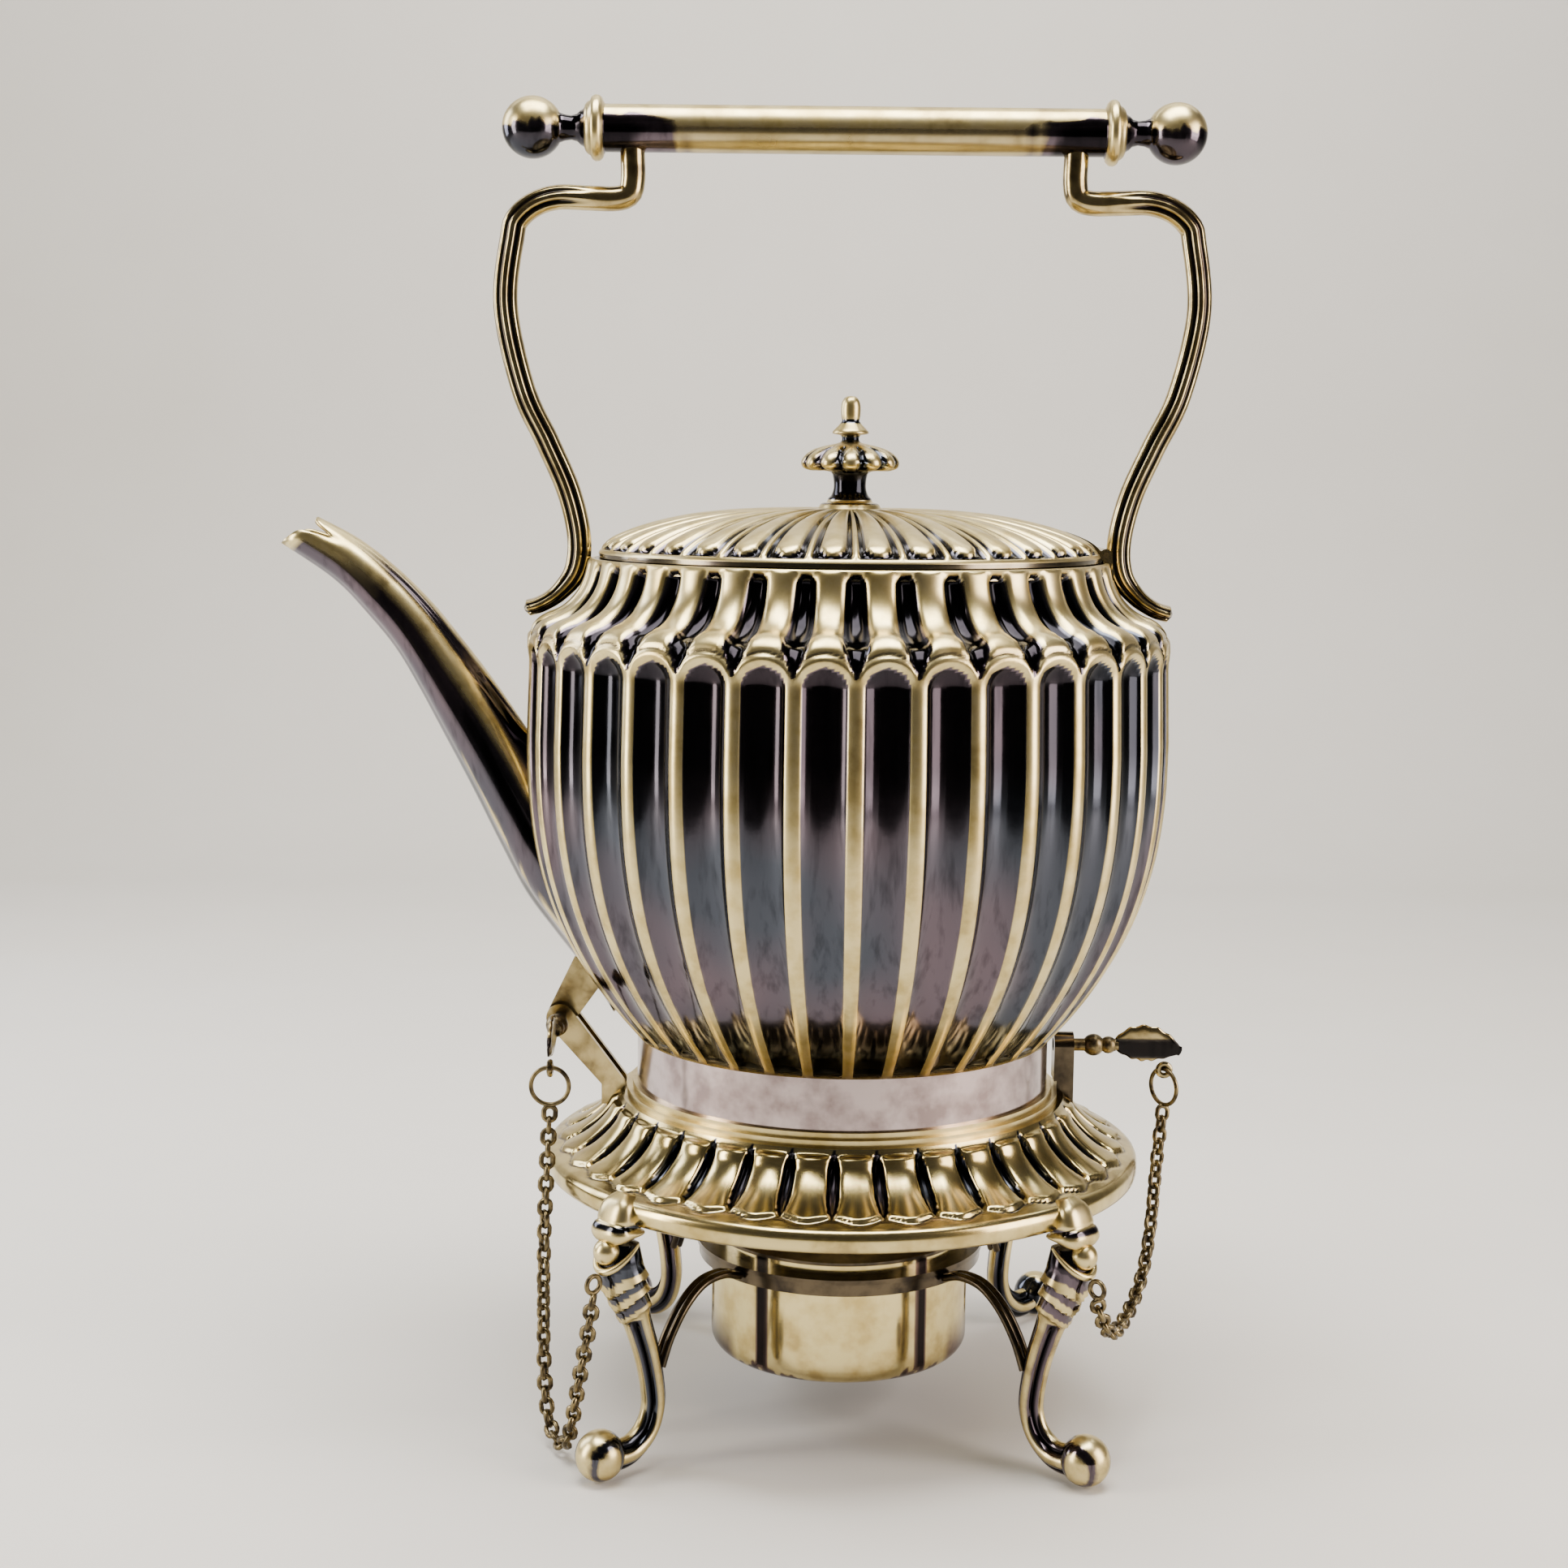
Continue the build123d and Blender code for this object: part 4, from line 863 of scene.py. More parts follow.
@dataclass
class KettleBowl(FlutedShell):
    """The fluted bowl with round-headed channels and ribs over the shoulder."""

    foot_r: float = 52.6
    belly_r: float = 79.75
    shoulder_r: float = 78.8
    neck_r: float = 63.9
    bottom_z: float = 96.5
    belly_z: float = 171.7
    shoulder_z: float = 200.0
    neck_z: float = 215.0
    curve: float = 2.6
    share: float = 0.375
    cutter: float = 6.4
    arch_z: float = 189.4
    ridge_drop: float = 0.45
    ridge_width: float = 1.8
    leaf_z: float = 191.8
    leaf_top_z: float = 214.3
    leaf_half: float = 3.2
    leaf_cutter: float = 3.6
    wall: float = 3.4
    # channels darken upwards, part tarnish and part painted dark reflection, and go dark at the bottom
    tarnish_and_reflection_z: float = 148.0
    tarnish_and_reflection_fade: float = 26.0
    dark_bottom_z: float = 104.5
    first_row: int = 2
    corner_row: int = 66
    rim_rows: int = 4

    def bowl_r(self, z: np.ndarray) -> np.ndarray:
        """Radius of the bowl at a height."""
        t = np.clip((z - self.bottom_z) / (self.belly_z - self.bottom_z), 0, 1)
        low = self.foot_r + (self.belly_r - self.foot_r) * (1 - (1 - t) ** self.curve)
        up = np.clip((z - self.belly_z) / (self.shoulder_z - self.belly_z), 0, 1)
        return low + (self.shoulder_r - self.belly_r) * up

    def outside(self) -> np.ndarray:
        z = np.r_[np.linspace(self.bottom_z, 105, 8), np.linspace(107.5, 180, 28),
                  np.linspace(181.0, 195.6, 28)]
        side = np.stack([self.bowl_r(z), z], axis=1)
        reach, drop = self.shoulder_r - self.neck_r, self.neck_z - self.shoulder_z
        a = np.linspace(0.25, 1.0, 26) * math.pi / 2
        arc = np.stack([self.shoulder_r - reach * np.sin(a), self.neck_z - drop * np.cos(a)], axis=1)
        t = np.linspace(0, 1, 15)[1:-1, None]
        corner = np.array([self.shoulder_r, self.shoulder_z])
        bend = (1 - t) ** 2 * side[-1] + 2 * t * (1 - t) * corner + t ** 2 * arc[0]
        arc = np.vstack([bend, arc])
        arc = arc[arc[:, 1] < self.neck_z - 0.35]
        rim = [(self.neck_r + 0.15, self.neck_z - 0.3), (self.neck_r, self.neck_z - 0.1),
               (self.neck_r - 0.3, self.neck_z - 0.02), (self.neck_r - 0.6, self.neck_z)]
        return np.vstack([[(0.0, self.bottom_z), (self.foot_r - 3, self.bottom_z)], side, arc, rim])

    def inside(self) -> list[tuple[float, float]]:
        wall = self.wall
        top = [(62.75, self.neck_z), (62.75, self.neck_z - 2.5)]
        a = np.linspace(1.0, 0.12, 9) * math.pi / 2
        reach, drop = self.shoulder_r - self.neck_r + wall, self.neck_z - self.shoulder_z + wall
        arc = [(self.shoulder_r - reach * math.sin(x), self.neck_z - drop * math.cos(x)) for x in a][1:]
        z = np.linspace(self.shoulder_z - 5, self.bottom_z + wall, 16)
        side = [(float(self.bowl_r(np.array(h))) - wall, float(h)) for h in z]
        return top + arc + side + [(0.0, self.bottom_z + wall)]

    def relief(self, u, run, r, z):
        arc = PITCH * r
        side, off = np.abs(u - 0.5) * arc, np.minimum(u, 1 - u) * arc
        head = self.share * PITCH * float(self.bowl_r(np.array(self.arch_z)))
        over = np.maximum(z - self.arch_z, 0)
        half = np.where(over > 0, head, np.maximum(self.share * arc, 0.01))
        q = np.hypot(side, over) / half
        # the channel, and the rounded ridge or arch that runs along its edge
        floor = round_hollow(q, half, self.cutter)
        full = np.maximum(round_hollow(np.zeros_like(half), half, self.cutter), 0.01)
        drop = np.minimum(self.ridge_drop, full * 0.4)
        channel = drop + floor * (full - drop) / full
        past = (q - 1) * half
        ridge = drop * np.clip(1 - past / self.ridge_width, 0, 1) ** 2
        arch = bell((past - 1.5) / 0.75) * 0.45 * ease((z - self.arch_z) / 5.0)
        crease = bell((past - 3.1) / 0.5) * 0.30 * ease((z - self.arch_z - 1) / 4.0) * (off > 0.8)
        rise = np.where(q < 1, -channel, arch - ridge - crease)
        # the leaf-shaped hollows between the shoulder's ribs
        s, span = run - self.leaf_run, self.top_run - self.leaf_run
        wide = self.leaf_half * np.sin(np.clip(s / 10.0, 0, 1) * math.pi / 2) ** 0.9
        wide = np.maximum(wide * (1 - 0.30 * ease((s - 11.0) / (span - 11.0))), 0.05)
        end = np.maximum(s - (span - 2.2), 0) / 2.2
        lq = np.hypot(off / wide, end)
        inside = (s > 0) & (lq < 1) & (past > 1.6)
        leaf = np.where(inside, round_hollow(lq, np.full_like(r, self.leaf_half), self.leaf_cutter), 0.0)
        leaf = leaf * 1.15 * ease(s / 7.0)
        rib_half = np.maximum(arc / 2 - wide, 1.0)
        rib = np.sqrt(np.clip(1 - (side / rib_half) ** 2, 0, 1)) * 0.8
        rib = rib * ease((s - 5.0) / 8.0) * ease((span + 1.0 - s) / 1.6)
        rise = rise - leaf + rib
        # channels darken from half to near-black upwards, part tarnish and part painted dark reflection, and go fully
        # dark at the bottom; the leaves are near-black, part tarnish and part painted dark reflection
        tone = 0.50 + 0.45 * ease((z - self.tarnish_and_reflection_z) / self.tarnish_and_reflection_fade)
        tone = np.maximum(tone, ease((self.dark_bottom_z + 1.5 * np.sin(23.0 * side) - z) / 3.0))
        hollow = np.maximum(np.where(q < 1, tone * ease((1.06 - q) * half / 0.6), 0.0),
                            np.where(inside, ease((1 - lq) * wide / 0.5), 0.0))
        hollow = np.maximum(hollow, 0.35 * bell((past - 3.1) / 0.4) * (z > self.arch_z + 2) * (off > 0.8))
        plain = (z > self.neck_z - 0.5) | (z < self.bottom_z + 0.2)
        return np.where(plain, 0.0, rise), np.where(plain, 0.0, hollow)

    def build(self) -> Object:
        """Find where the leaves start and end, then turn and work the bowl.

        Returns:
            The mesh.
        """
        line = self.outside()
        run = run_along(line)
        wall = slice(self.first_row, self.corner_row)
        shoulder = slice(self.corner_row, -self.rim_rows)
        self.leaf_run = float(np.interp(self.leaf_z, line[wall, 1], run[wall]))
        self.top_run = float(np.interp(self.leaf_top_z, line[shoulder, 1], run[shoulder]))
        return super().build()

    def dress(self, obj: Object) -> None:
        """Finish the bowl."""
        fit(obj, Finish.BODY, "kettle", "kettle_body")


# ---------------------------------------------------------------- lid
@dataclass
class FlutedLid(FlutedShell):
    """The low dome with fine ribs between wide shallow panels."""

    edge_r: float = 61.9
    rise: float = 11.4
    edge_z: float = 216.2
    neck_z: float = 215.0
    panel: float = 0.85
    groove: float = 0.9

    def dome(self, t: np.ndarray) -> np.ndarray:
        """The dome's line by a turn from 0 at the edge to a right angle in the middle."""
        return np.stack([self.edge_r * np.maximum(np.cos(t), 0) ** 0.8,
                         self.edge_z + self.rise * np.sin(t) ** 1.3], axis=1)

    def outside(self) -> np.ndarray:
        t = np.linspace(0.0, 1.0, 60) ** 1.15 * math.pi / 2
        line = self.dome(t)
        line[-1, 0] = 0.0
        low = [(self.edge_r - 0.5, self.neck_z + 0.02), (self.edge_r - 0.08, self.neck_z + 0.25)]
        return np.vstack([low, line])

    def inside(self) -> list[tuple[float, float]]:
        t = np.linspace(1.0, 0.04, 12) * math.pi / 2
        line = self.dome(t)
        pts = [(max(float(r) - 1.0, 0.0) if i else 0.0, float(z) - 1.6) for i, (r, z) in enumerate(line)]
        return pts + [(self.edge_r - 1.6, self.neck_z + 0.02)]

    def relief(self, u, run, r, z):
        arc = PITCH * np.maximum(r, 0.5)
        off, side = np.minimum(u, 1 - u), np.abs(u - 0.5) * arc
        size = np.clip(r / 38.0, 0.35, 1.0)
        half = 0.285 * arc
        round_r = self.edge_r - 1.5 - 0.285 * PITCH * (self.edge_r - 4)
        end = np.maximum(r - round_r, 0)
        q = np.hypot(side, end) / half
        start = ease((r - 13.5) / 3.0)
        panel = np.sqrt(np.clip(1 - q ** 2, 0, 1)) * self.panel * size * start
        rib = np.clip(1 - (off / 0.065) ** 2, 0, 1) * 0.45 * size * start * ease((self.edge_r - 0.4 - r) / 1.0)
        dark = (q > 1) & (off > 0.055)
        bank = np.clip((q - 1) * half / 0.25, 0, 1) * np.clip((off - 0.055) * arc / 0.2, 0, 1)
        border = ease((self.edge_r - 0.5 - r) / 0.8)
        rise = panel + rib - np.where(dark, bank * self.groove * size * start * border, 0.0)
        # the grooves go near-black: part tarnish, part painted dark reflection
        hollow = np.where(dark, np.clip(bank * 1.4, 0, 1) * start * border, 0.0)
        plain = (r < 13.0) | (z < self.edge_z + 0.05)
        return np.where(plain, 0.0, rise), np.where(plain, np.where(r < 14, 0.0, 0.4), hollow)

    def dress(self, obj: Object) -> None:
        """Finish the lid."""
        fit(obj, Finish.BODY, "lid", "lid_dome")


# ---------------------------------------------------------------- stand
@dataclass
class FlutedSkirt(FlutedShell):
    """The flared skirt with round-topped lobes and dark slots between them."""

    top_r: float = 56.2
    top_z: float = 80.8
    edge_r: float = 73.6
    edge_z: float = 67.2
    slot_depth: float = 1.5

    def curve(self, n: int) -> np.ndarray:
        """The hollow line from the seat down to the rim."""
        a = np.array([self.top_r, self.top_z])
        c = np.array([self.edge_r, self.edge_z])
        b = np.array([self.top_r + (self.edge_r - self.top_r) * 0.30,
                      self.top_z + (self.edge_z - self.top_z) * 0.74])
        t = np.linspace(0, 1, n)[:, None]
        return (1 - t) ** 2 * a + 2 * t * (1 - t) * b + t ** 2 * c

    def outside(self) -> np.ndarray:
        rim = [(73.5, 61.9), (74.2, 61.8), (74.8, 62.3), (75.05, 63.2), (75.1, 64.6), (75.0, 65.7),
               (74.6, 66.5), (74.0, 66.95)]
        line = self.curve(46)[::-1]
        return np.vstack([rim, line, [(47.6, self.top_z)]])

    def inside(self) -> list[tuple[float, float]]:
        line = self.curve(14)
        pts = [(47.6, self.top_z - 1.3)] + [(float(r) - 0.8, float(z) - 1.9) for r, z in line]
        return pts + [(73.1, 63.0)]

    def relief(self, u, run, r, z):
        arc = PITCH * r
        on = (r < self.edge_r - 0.3) & (r > self.top_r + 0.2)
        off, side = np.minimum(u, 1 - u) * arc, np.abs(u - 0.5) * arc
        s = (r - self.top_r - 0.6) / (self.edge_r - self.top_r - 0.6)
        wide = 1.45 * ease(s / 0.25 + 0.40) * np.clip(1 - np.clip((s - 0.42) / 0.36, 0, 1) ** 1.8, 0, 1) + 0.02
        slot = np.where(s < 0.78, np.sqrt(np.clip(1 - (off / wide) ** 2, 0, 1)), 0.0)
        lobe = np.sqrt(np.clip(1 - (side / np.maximum(arc / 2 - wide * 0.9, 0.5)) ** 2, 0, 1))
        scallop = 0.845 - 0.05 * np.cos(2 * math.pi * u)
        over = ease((scallop - s) / 0.06)
        rise = 0.9 * lobe * ease(s / 0.05) * over + 0.35 * bell((s - 0.06) / 0.05) * lobe
        rise = rise - self.slot_depth * slot * ease((s + 0.01) / 0.05)
        crease = bell((s - scallop - 0.01) / 0.018)
        rise = np.where(on, rise - 0.2 * crease, 0.0)
        # painted highlight: the middle of each slot is lighter in its lower half
        slot_highlight = 1 - 0.75 * ease((s - 0.30) / 0.2) * bell(off / (0.45 * wide))
        hollow = np.where(slot > 0.02, np.clip(slot * 2.2, 0, 1) * slot_highlight, 0.0)
        hollow = np.where(on, np.maximum(hollow, 0.5 * crease), 0.0)
        return rise, hollow * (z < self.top_z)

    def dress(self, obj: Object) -> None:
        """Finish the skirt."""
        fit(obj, Finish.BRIGHT, "stand", "stand_skirt", "stand_rim")


@dataclass
class CabrioleLeg:
    """One cast leg: a block under the rim, a ball, a bell-flower, a reeded shaft and a scrolled toe."""

    number: int
    angle: float

    def shaft(self) -> Object:
        """The leg's own line, from the ball down to the heel, then the scroll of the toe.

        Returns:
            The mesh in the leg's own plane.
        """
        stations = [(74.0, 58.0, 3.8), (74.4, 52.2, 5.2), (73.2, 46.8, 4.9), (71.2, 41.6, 4.3), (69.4, 36.7, 3.8),
                    (66.4, 28.0, 3.5), (64.5, 19.5, 3.4), (64.3, 13.6, 3.4), (66.6, 8.4, 3.5), (71.2, 5.2, 3.7),
                    (76.0, 4.9, 3.9), (79.6, 6.0, 3.6)]
        line = smooth_line(stations, 110)
        phi = turns(40)
        length = run_along(line[:, :2])[-1]
        sections, hollow = [], []
        for t, half in zip(np.linspace(0, 1, len(line)), line[:, 2]):
            s = t * length
            groove = 0.34 * ease((s - 19.0) / 5.0)
            slant = s + 2.6 * np.abs(np.sin(phi)) - 1.3
            flare = np.zeros(len(phi))
            for k, foot in enumerate((11.5, 15.7, 19.9)):
                d = (slant - (foot - 4.2)) / 4.2
                flare = np.where((d >= 0) & (d < 1), (1.15 - 0.25 * k) * np.clip(d, 0, 1) ** 1.5, flare)
            lobes = np.abs(np.cos(2 * phi)) ** 0.7
            radius = (half + flare) * (1 - groove + groove * lobes)
            wide = 1.0 + 0.4 * ease((s - 66.0) / 12.0)
            close = 1.0 if 0.012 < t < 0.985 else 0.35
            sections.append(np.stack([radius * np.sin(phi) * wide, radius * np.cos(phi)], axis=1) * close)
            # the reed grooves and the bell-flower's hollows are tarnish; the shaft's dark top behind the ball is
            # painted shade
            hollow.append(np.clip((1 - lobes) * 2.2 * (groove > 0.05), 0, 1)
                          + 0.55 * (flare < 0.35) * (slant > 7.3) * (slant < 19.9) + 0.9 * (slant <= 7.3))
        return sweep("shaft", upright(line), np.array(sections), smooth_angle=50, hollow=np.array(hollow))

    def ball(self, centre, radius: float, squash=(1.0, 1.0, 1.0)) -> Object:
        """A ball or a squashed one.

        Args:
            centre: its middle in the leg's plane, in mm.
            radius: its radius in mm.
            squash: scale by axis.
        Returns:
            The mesh.
        """
        obj = Bench.add("ball", bpy.ops.mesh.primitive_uv_sphere_add, segments=28, ring_count=16,
                        radius=radius * MM)
        Bench.move(obj, Bench.points(obj) * np.array(squash) + np.array(centre) * MM)
        return Bench.clean(obj)

    def hood(self) -> Object:
        """The folded hood that carries the rim, with a rolled band at its foot.

        Returns:
            The mesh.
        """
        stations = [(75.2, 58.7, 4.6, 4.0), (75.3, 59.2, 5.7, 5.0), (75.3, 60.0, 6.0, 5.2),
                    (75.2, 60.8, 5.7, 4.9), (75.0, 61.5, 5.0, 4.3), (74.7, 62.6, 5.2, 4.3),
                    (74.2, 64.6, 4.9, 4.0), (73.4, 66.6, 3.9, 3.2), (72.8, 68.3, 2.2, 1.8)]
        line = smooth_line(stations, 40)
        phi = turns(36)
        square = (np.abs(np.cos(phi)) ** 3.2 + np.abs(np.sin(phi)) ** 3.2) ** (-1 / 3.2)
        ring = np.stack([np.sin(phi) * square, np.cos(phi) * square], axis=1)
        obj = sweep("hood", upright(line), ring[None] * line[:, None, 2:4], smooth_angle=50)
        z = Bench.points(obj)[:, 2] / MM
        Bench.mark(obj, "hollow", 0.9 * bell((z - 61.7) / 0.55))
        return obj

    def lip(self) -> Object:
        """The curved gold lip under the ball, like the edge of a cup.

        Returns:
            The mesh.
        """
        a = np.linspace(-math.pi / 2, math.pi / 2, 40)
        line = np.stack([73.8 + 6.6 * np.cos(a), 5.7 * np.sin(a), 57.6 - 6.6 * np.cos(a)], axis=1)
        phi = turns(14)
        fade = np.sin(np.linspace(0.08, math.pi - 0.08, len(a))) ** 0.5
        ring = np.stack([np.sin(phi), np.cos(phi)], axis=1) * 0.9
        return sweep("lip", line, ring[None] * fade[:, None, None], side=(0.0, 0.0, 1.0))

    def build(self) -> Object:
        """Make the whole leg in its plane, then turn it to its place.

        Returns:
            The joined leg.
        """
        parts = [self.shaft(), self.hood(), self.ball((78.7, 0, 55.5), 3.3), self.lip(),
                 self.ball((80.9, 0, 6.3), 6.0, (1.0, 0.98, 1.02))]
        for part in parts[2:]:
            Bench.mark(part, "hollow", np.zeros(len(part.data.vertices)))
        co = Bench.points(parts[-1]) / MM
        turn = np.arctan2(co[:, 2] - 6.3, co[:, 0] - 80.9)
        scroll = bell((np.abs(co[:, 1]) - 3.4 - 0.9 * np.sin(turn)) / 0.7)
        Bench.mark(parts[-1], "hollow", np.clip(0.9 * scroll + 0.6 * (co[:, 0] < 78.5), 0, 1))
        leg = Bench.join(f"cabriole_leg_{self.number}", parts)
        return place(leg, math.radians(self.angle))

    def dress(self, obj: Object) -> None:
        """Finish the leg."""
        fit(obj, Finish.BODY, "stand", f"leg_{self.number}")


@dataclass
class CradleStrut:
    """Two thin rods side by side from a leg's inner side to the cradle ring."""

    number: int
    angle: float
    rod_r: float = 1.05
    apart: float = 1.02

    def build(self) -> Object:
        """Make both rods.

        Returns:
            The joined pair.
        """
        line = smooth_line([(62.4, 23.4), (59.4, 30.0), (54.6, 36.4), (48.6, 40.6), (42.0, 41.4), (36.6, 39.8)], 36)
        phi = turns(14)
        ring = np.stack([np.sin(phi), np.cos(phi)], axis=1) * self.rod_r
        sections = np.repeat(ring[None], len(line), axis=0)
        rods = [sweep("rod", upright(line, y), sections) for y in (-self.apart, self.apart)]
        pair = Bench.join(f"strut_rods_{self.number}", rods)
        return place(pair, math.radians(self.angle))

    def dress(self, obj: Object) -> None:
        """Finish the strut."""
        # painted shade: the struts under the skirt get the darkened plate
        fit(obj, Finish.SOOTY, "stand", f"cradle_strut_{self.number}")


# ---------------------------------------------------------------- spout and handle
@dataclass
class Spout:
    """The tapering spout with long soft flutes and a beak cut in a V."""

    def lines(self) -> tuple[np.ndarray, np.ndarray]:
        """Lower and upper outline, root first, as (x, z) in mm.

        Returns:
            The two lines, with as many points each.
        """
        low = [(-58.0, 100.0), (-64.5, 110.0), (-72.5, 120.2), (-80.0, 130.2), (-86.0, 141.6), (-93.6, 157.0),
               (-101.0, 171.2), (-106.8, 182.2), (-112.2, 191.4), (-118.6, 199.4), (-127.4, 208.6), (-140.6, 217.6)]
        high = [(-58.0, 136.0), (-64.5, 146.5), (-71.0, 157.5), (-76.0, 165.5), (-80.7, 173.0), (-85.2, 179.8),
                (-90.5, 187.2), (-96.4, 194.8), (-103.3, 203.2), (-111.6, 211.4), (-121.2, 218.8), (-131.4, 224.2)]
        return smooth_line(low, 70), smooth_line(high, 70)

    def build(self) -> Object:
        """Make the spout as a thin shell and cut it where it meets the bowl.

        Returns:
            The mesh.
        """
        low, high = self.lines()
        centres = (low + high) / 2
        axis = high - low
        tall = np.linalg.norm(axis, axis=1) / 2
        phi = turns(64)
        t = np.linspace(0, 1, len(centres))
        half = np.interp(t, [0, 0.25, 0.5, 0.75, 1.0], [17.5, 13.4, 10.2, 7.8, 5.4])
        obj, i, j = sheet_grid("beaked_spout", len(centres), len(phi) + 1)
        angle = phi[j % len(phi)]
        lobes = 1 - 0.075 * (1 - np.abs(np.cos(3.0 * angle)) ** 0.8) * np.interp(t[i], [0, 0.8, 1], [1, 0.8, 0.35])
        unit = axis / (2 * tall[:, None])
        vees = bell((angle - 0.95) / 0.30) + bell((angle - (2 * math.pi - 0.95)) / 0.30)
        notch = 6.5 * ease((t[i] - 0.90) / 0.10) * vees
        run = unit_rows(np.gradient(centres, axis=0))
        up = np.cos(angle) * tall[i] * lobes
        across = np.sin(angle) * half[i] * lobes
        x = centres[i, 0] + unit[i, 0] * up - run[i, 0] * notch
        z = centres[i, 1] + unit[i, 1] * up - run[i, 1] * notch
        Bench.move(obj, np.stack([x, across, z], axis=1) * MM)
        valley = np.clip((1 - np.abs(np.cos(3.0 * angle)) ** 0.8) * 1.6, 0, 1)
        # painted shade: the lower side is darker; near the root a ragged lighter band along it is a painted
        # highlight; the dark in the flute valleys is tarnish
        low_side = ease((-np.cos(angle) - 0.05) / 0.3)
        root = ease((0.62 - t[i]) / 0.25)
        ragged = 0.5 + 0.5 * np.sin(41 * t[i] + 3 * np.sin(23 * t[i]) + 5 * np.cos(2 * angle))
        hollow = low_side * (0.56 - 0.06 * root) + valley * 0.5 * root + 0.30 * root * ragged * valley
        hollow -= 0.7 * low_side * root * bell((np.abs(np.cos(angle)) - 0.72 - 0.12 * ragged) / 0.08)
        upper = 0.6 * valley * (1 - low_side) * ease((0.97 - t[i]) / 0.25)
        lip = ease((0.985 - t[i]) / 0.015)
        Bench.mark(obj, "hollow", np.clip((hollow + upper) * lip, 0, 1))
        Bench.clean(obj, smooth_angle=60)
        solid = obj.modifiers.new("wall", "SOLIDIFY")
        solid.thickness = 0.9 * MM
        solid.offset = -1.0
        Bench.pick(obj)
        bpy.ops.object.modifier_apply(modifier=solid.name)
        inner = [(r - 2.9, z) for r, z in KettleBowl("tool").outside() if z < 214]
        tool = lathe("tool", [(0.0, 90.0), (49.0, 90.0)] + inner[2:] + [(0.0, 214.0)], 96, closed=True)
        Bench.cut(obj, tool)
        return place(obj)

    def dress(self, obj: Object) -> None:
        """Finish the spout."""
        fit(obj, Finish.BODY, "kettle", "spout")


@dataclass
class HandleArm:
    """One swan-neck arm of three reeds, from the grip down to the shoulder."""

    side: int
    node: str

    def build(self) -> Object:
        """Carry the reeded section along the arm's line.

        Returns:
            The mesh.
        """
        low = [(83.0, 293.0), (84.8, 276.0), (80.6, 256.0), (74.6, 243.0), (69.4, 231.0), (66.9, 220.0),
               (67.6, 212.0), (71.4, 206.6), (76.0, 203.4), (80.4, 202.0)]
        crank = [(54.0, 318.5), (53.8, 312.0), (53.7, 306.5), (54.6, 303.0), (58.0, 301.8), (65.0, 301.9),
                 (72.0, 302.0), (77.6, 300.3), (81.6, 297.0)]
        line = smooth_line(crank + low, 150)
        run = run_along(line)
        phi = turns(44)
        groove = np.zeros(len(phi))
        for at, deep in ((62, 0.75), (118, 1.0), (242, 1.0), (298, 0.75)):
            away = (phi - math.radians(at) + math.pi) % (2 * math.pi) - math.pi
            groove += deep * bell(away / 0.16)
        sections, hollow = [], []
        for s in run:
            fade = ease((s - 22.0) / 14.0)
            foot = ease((s - (run[-1] - 20)) / 16.0)
            radius = 3.0 - 0.85 * groove * fade
            wide, deep = 1.0 + 0.5 * foot, 1.0 - 0.30 * foot
            end = 0.3 if s < 0.4 or s > run[-1] - 0.4 else 1.0
            sections.append(np.stack([np.sin(phi) * radius * wide, np.cos(phi) * radius * deep], axis=1) * end)
            hollow.append(groove * fade)
        name = "reeded_arm_" + ("rear" if self.side > 0 else "front")
        obj = sweep(name, upright(line), np.array(sections), smooth_angle=55, hollow=np.array(hollow))
        if self.side < 0:
            Bench.move(obj, Bench.points(obj) * np.array([-1.0, 1.0, 1.0]))
            Bench.clean(obj, smooth_angle=55)
        return place(obj)

    def dress(self, obj: Object) -> None:
        """Finish the arm."""
        fit(obj, Finish.AGED, "kettle", self.node)


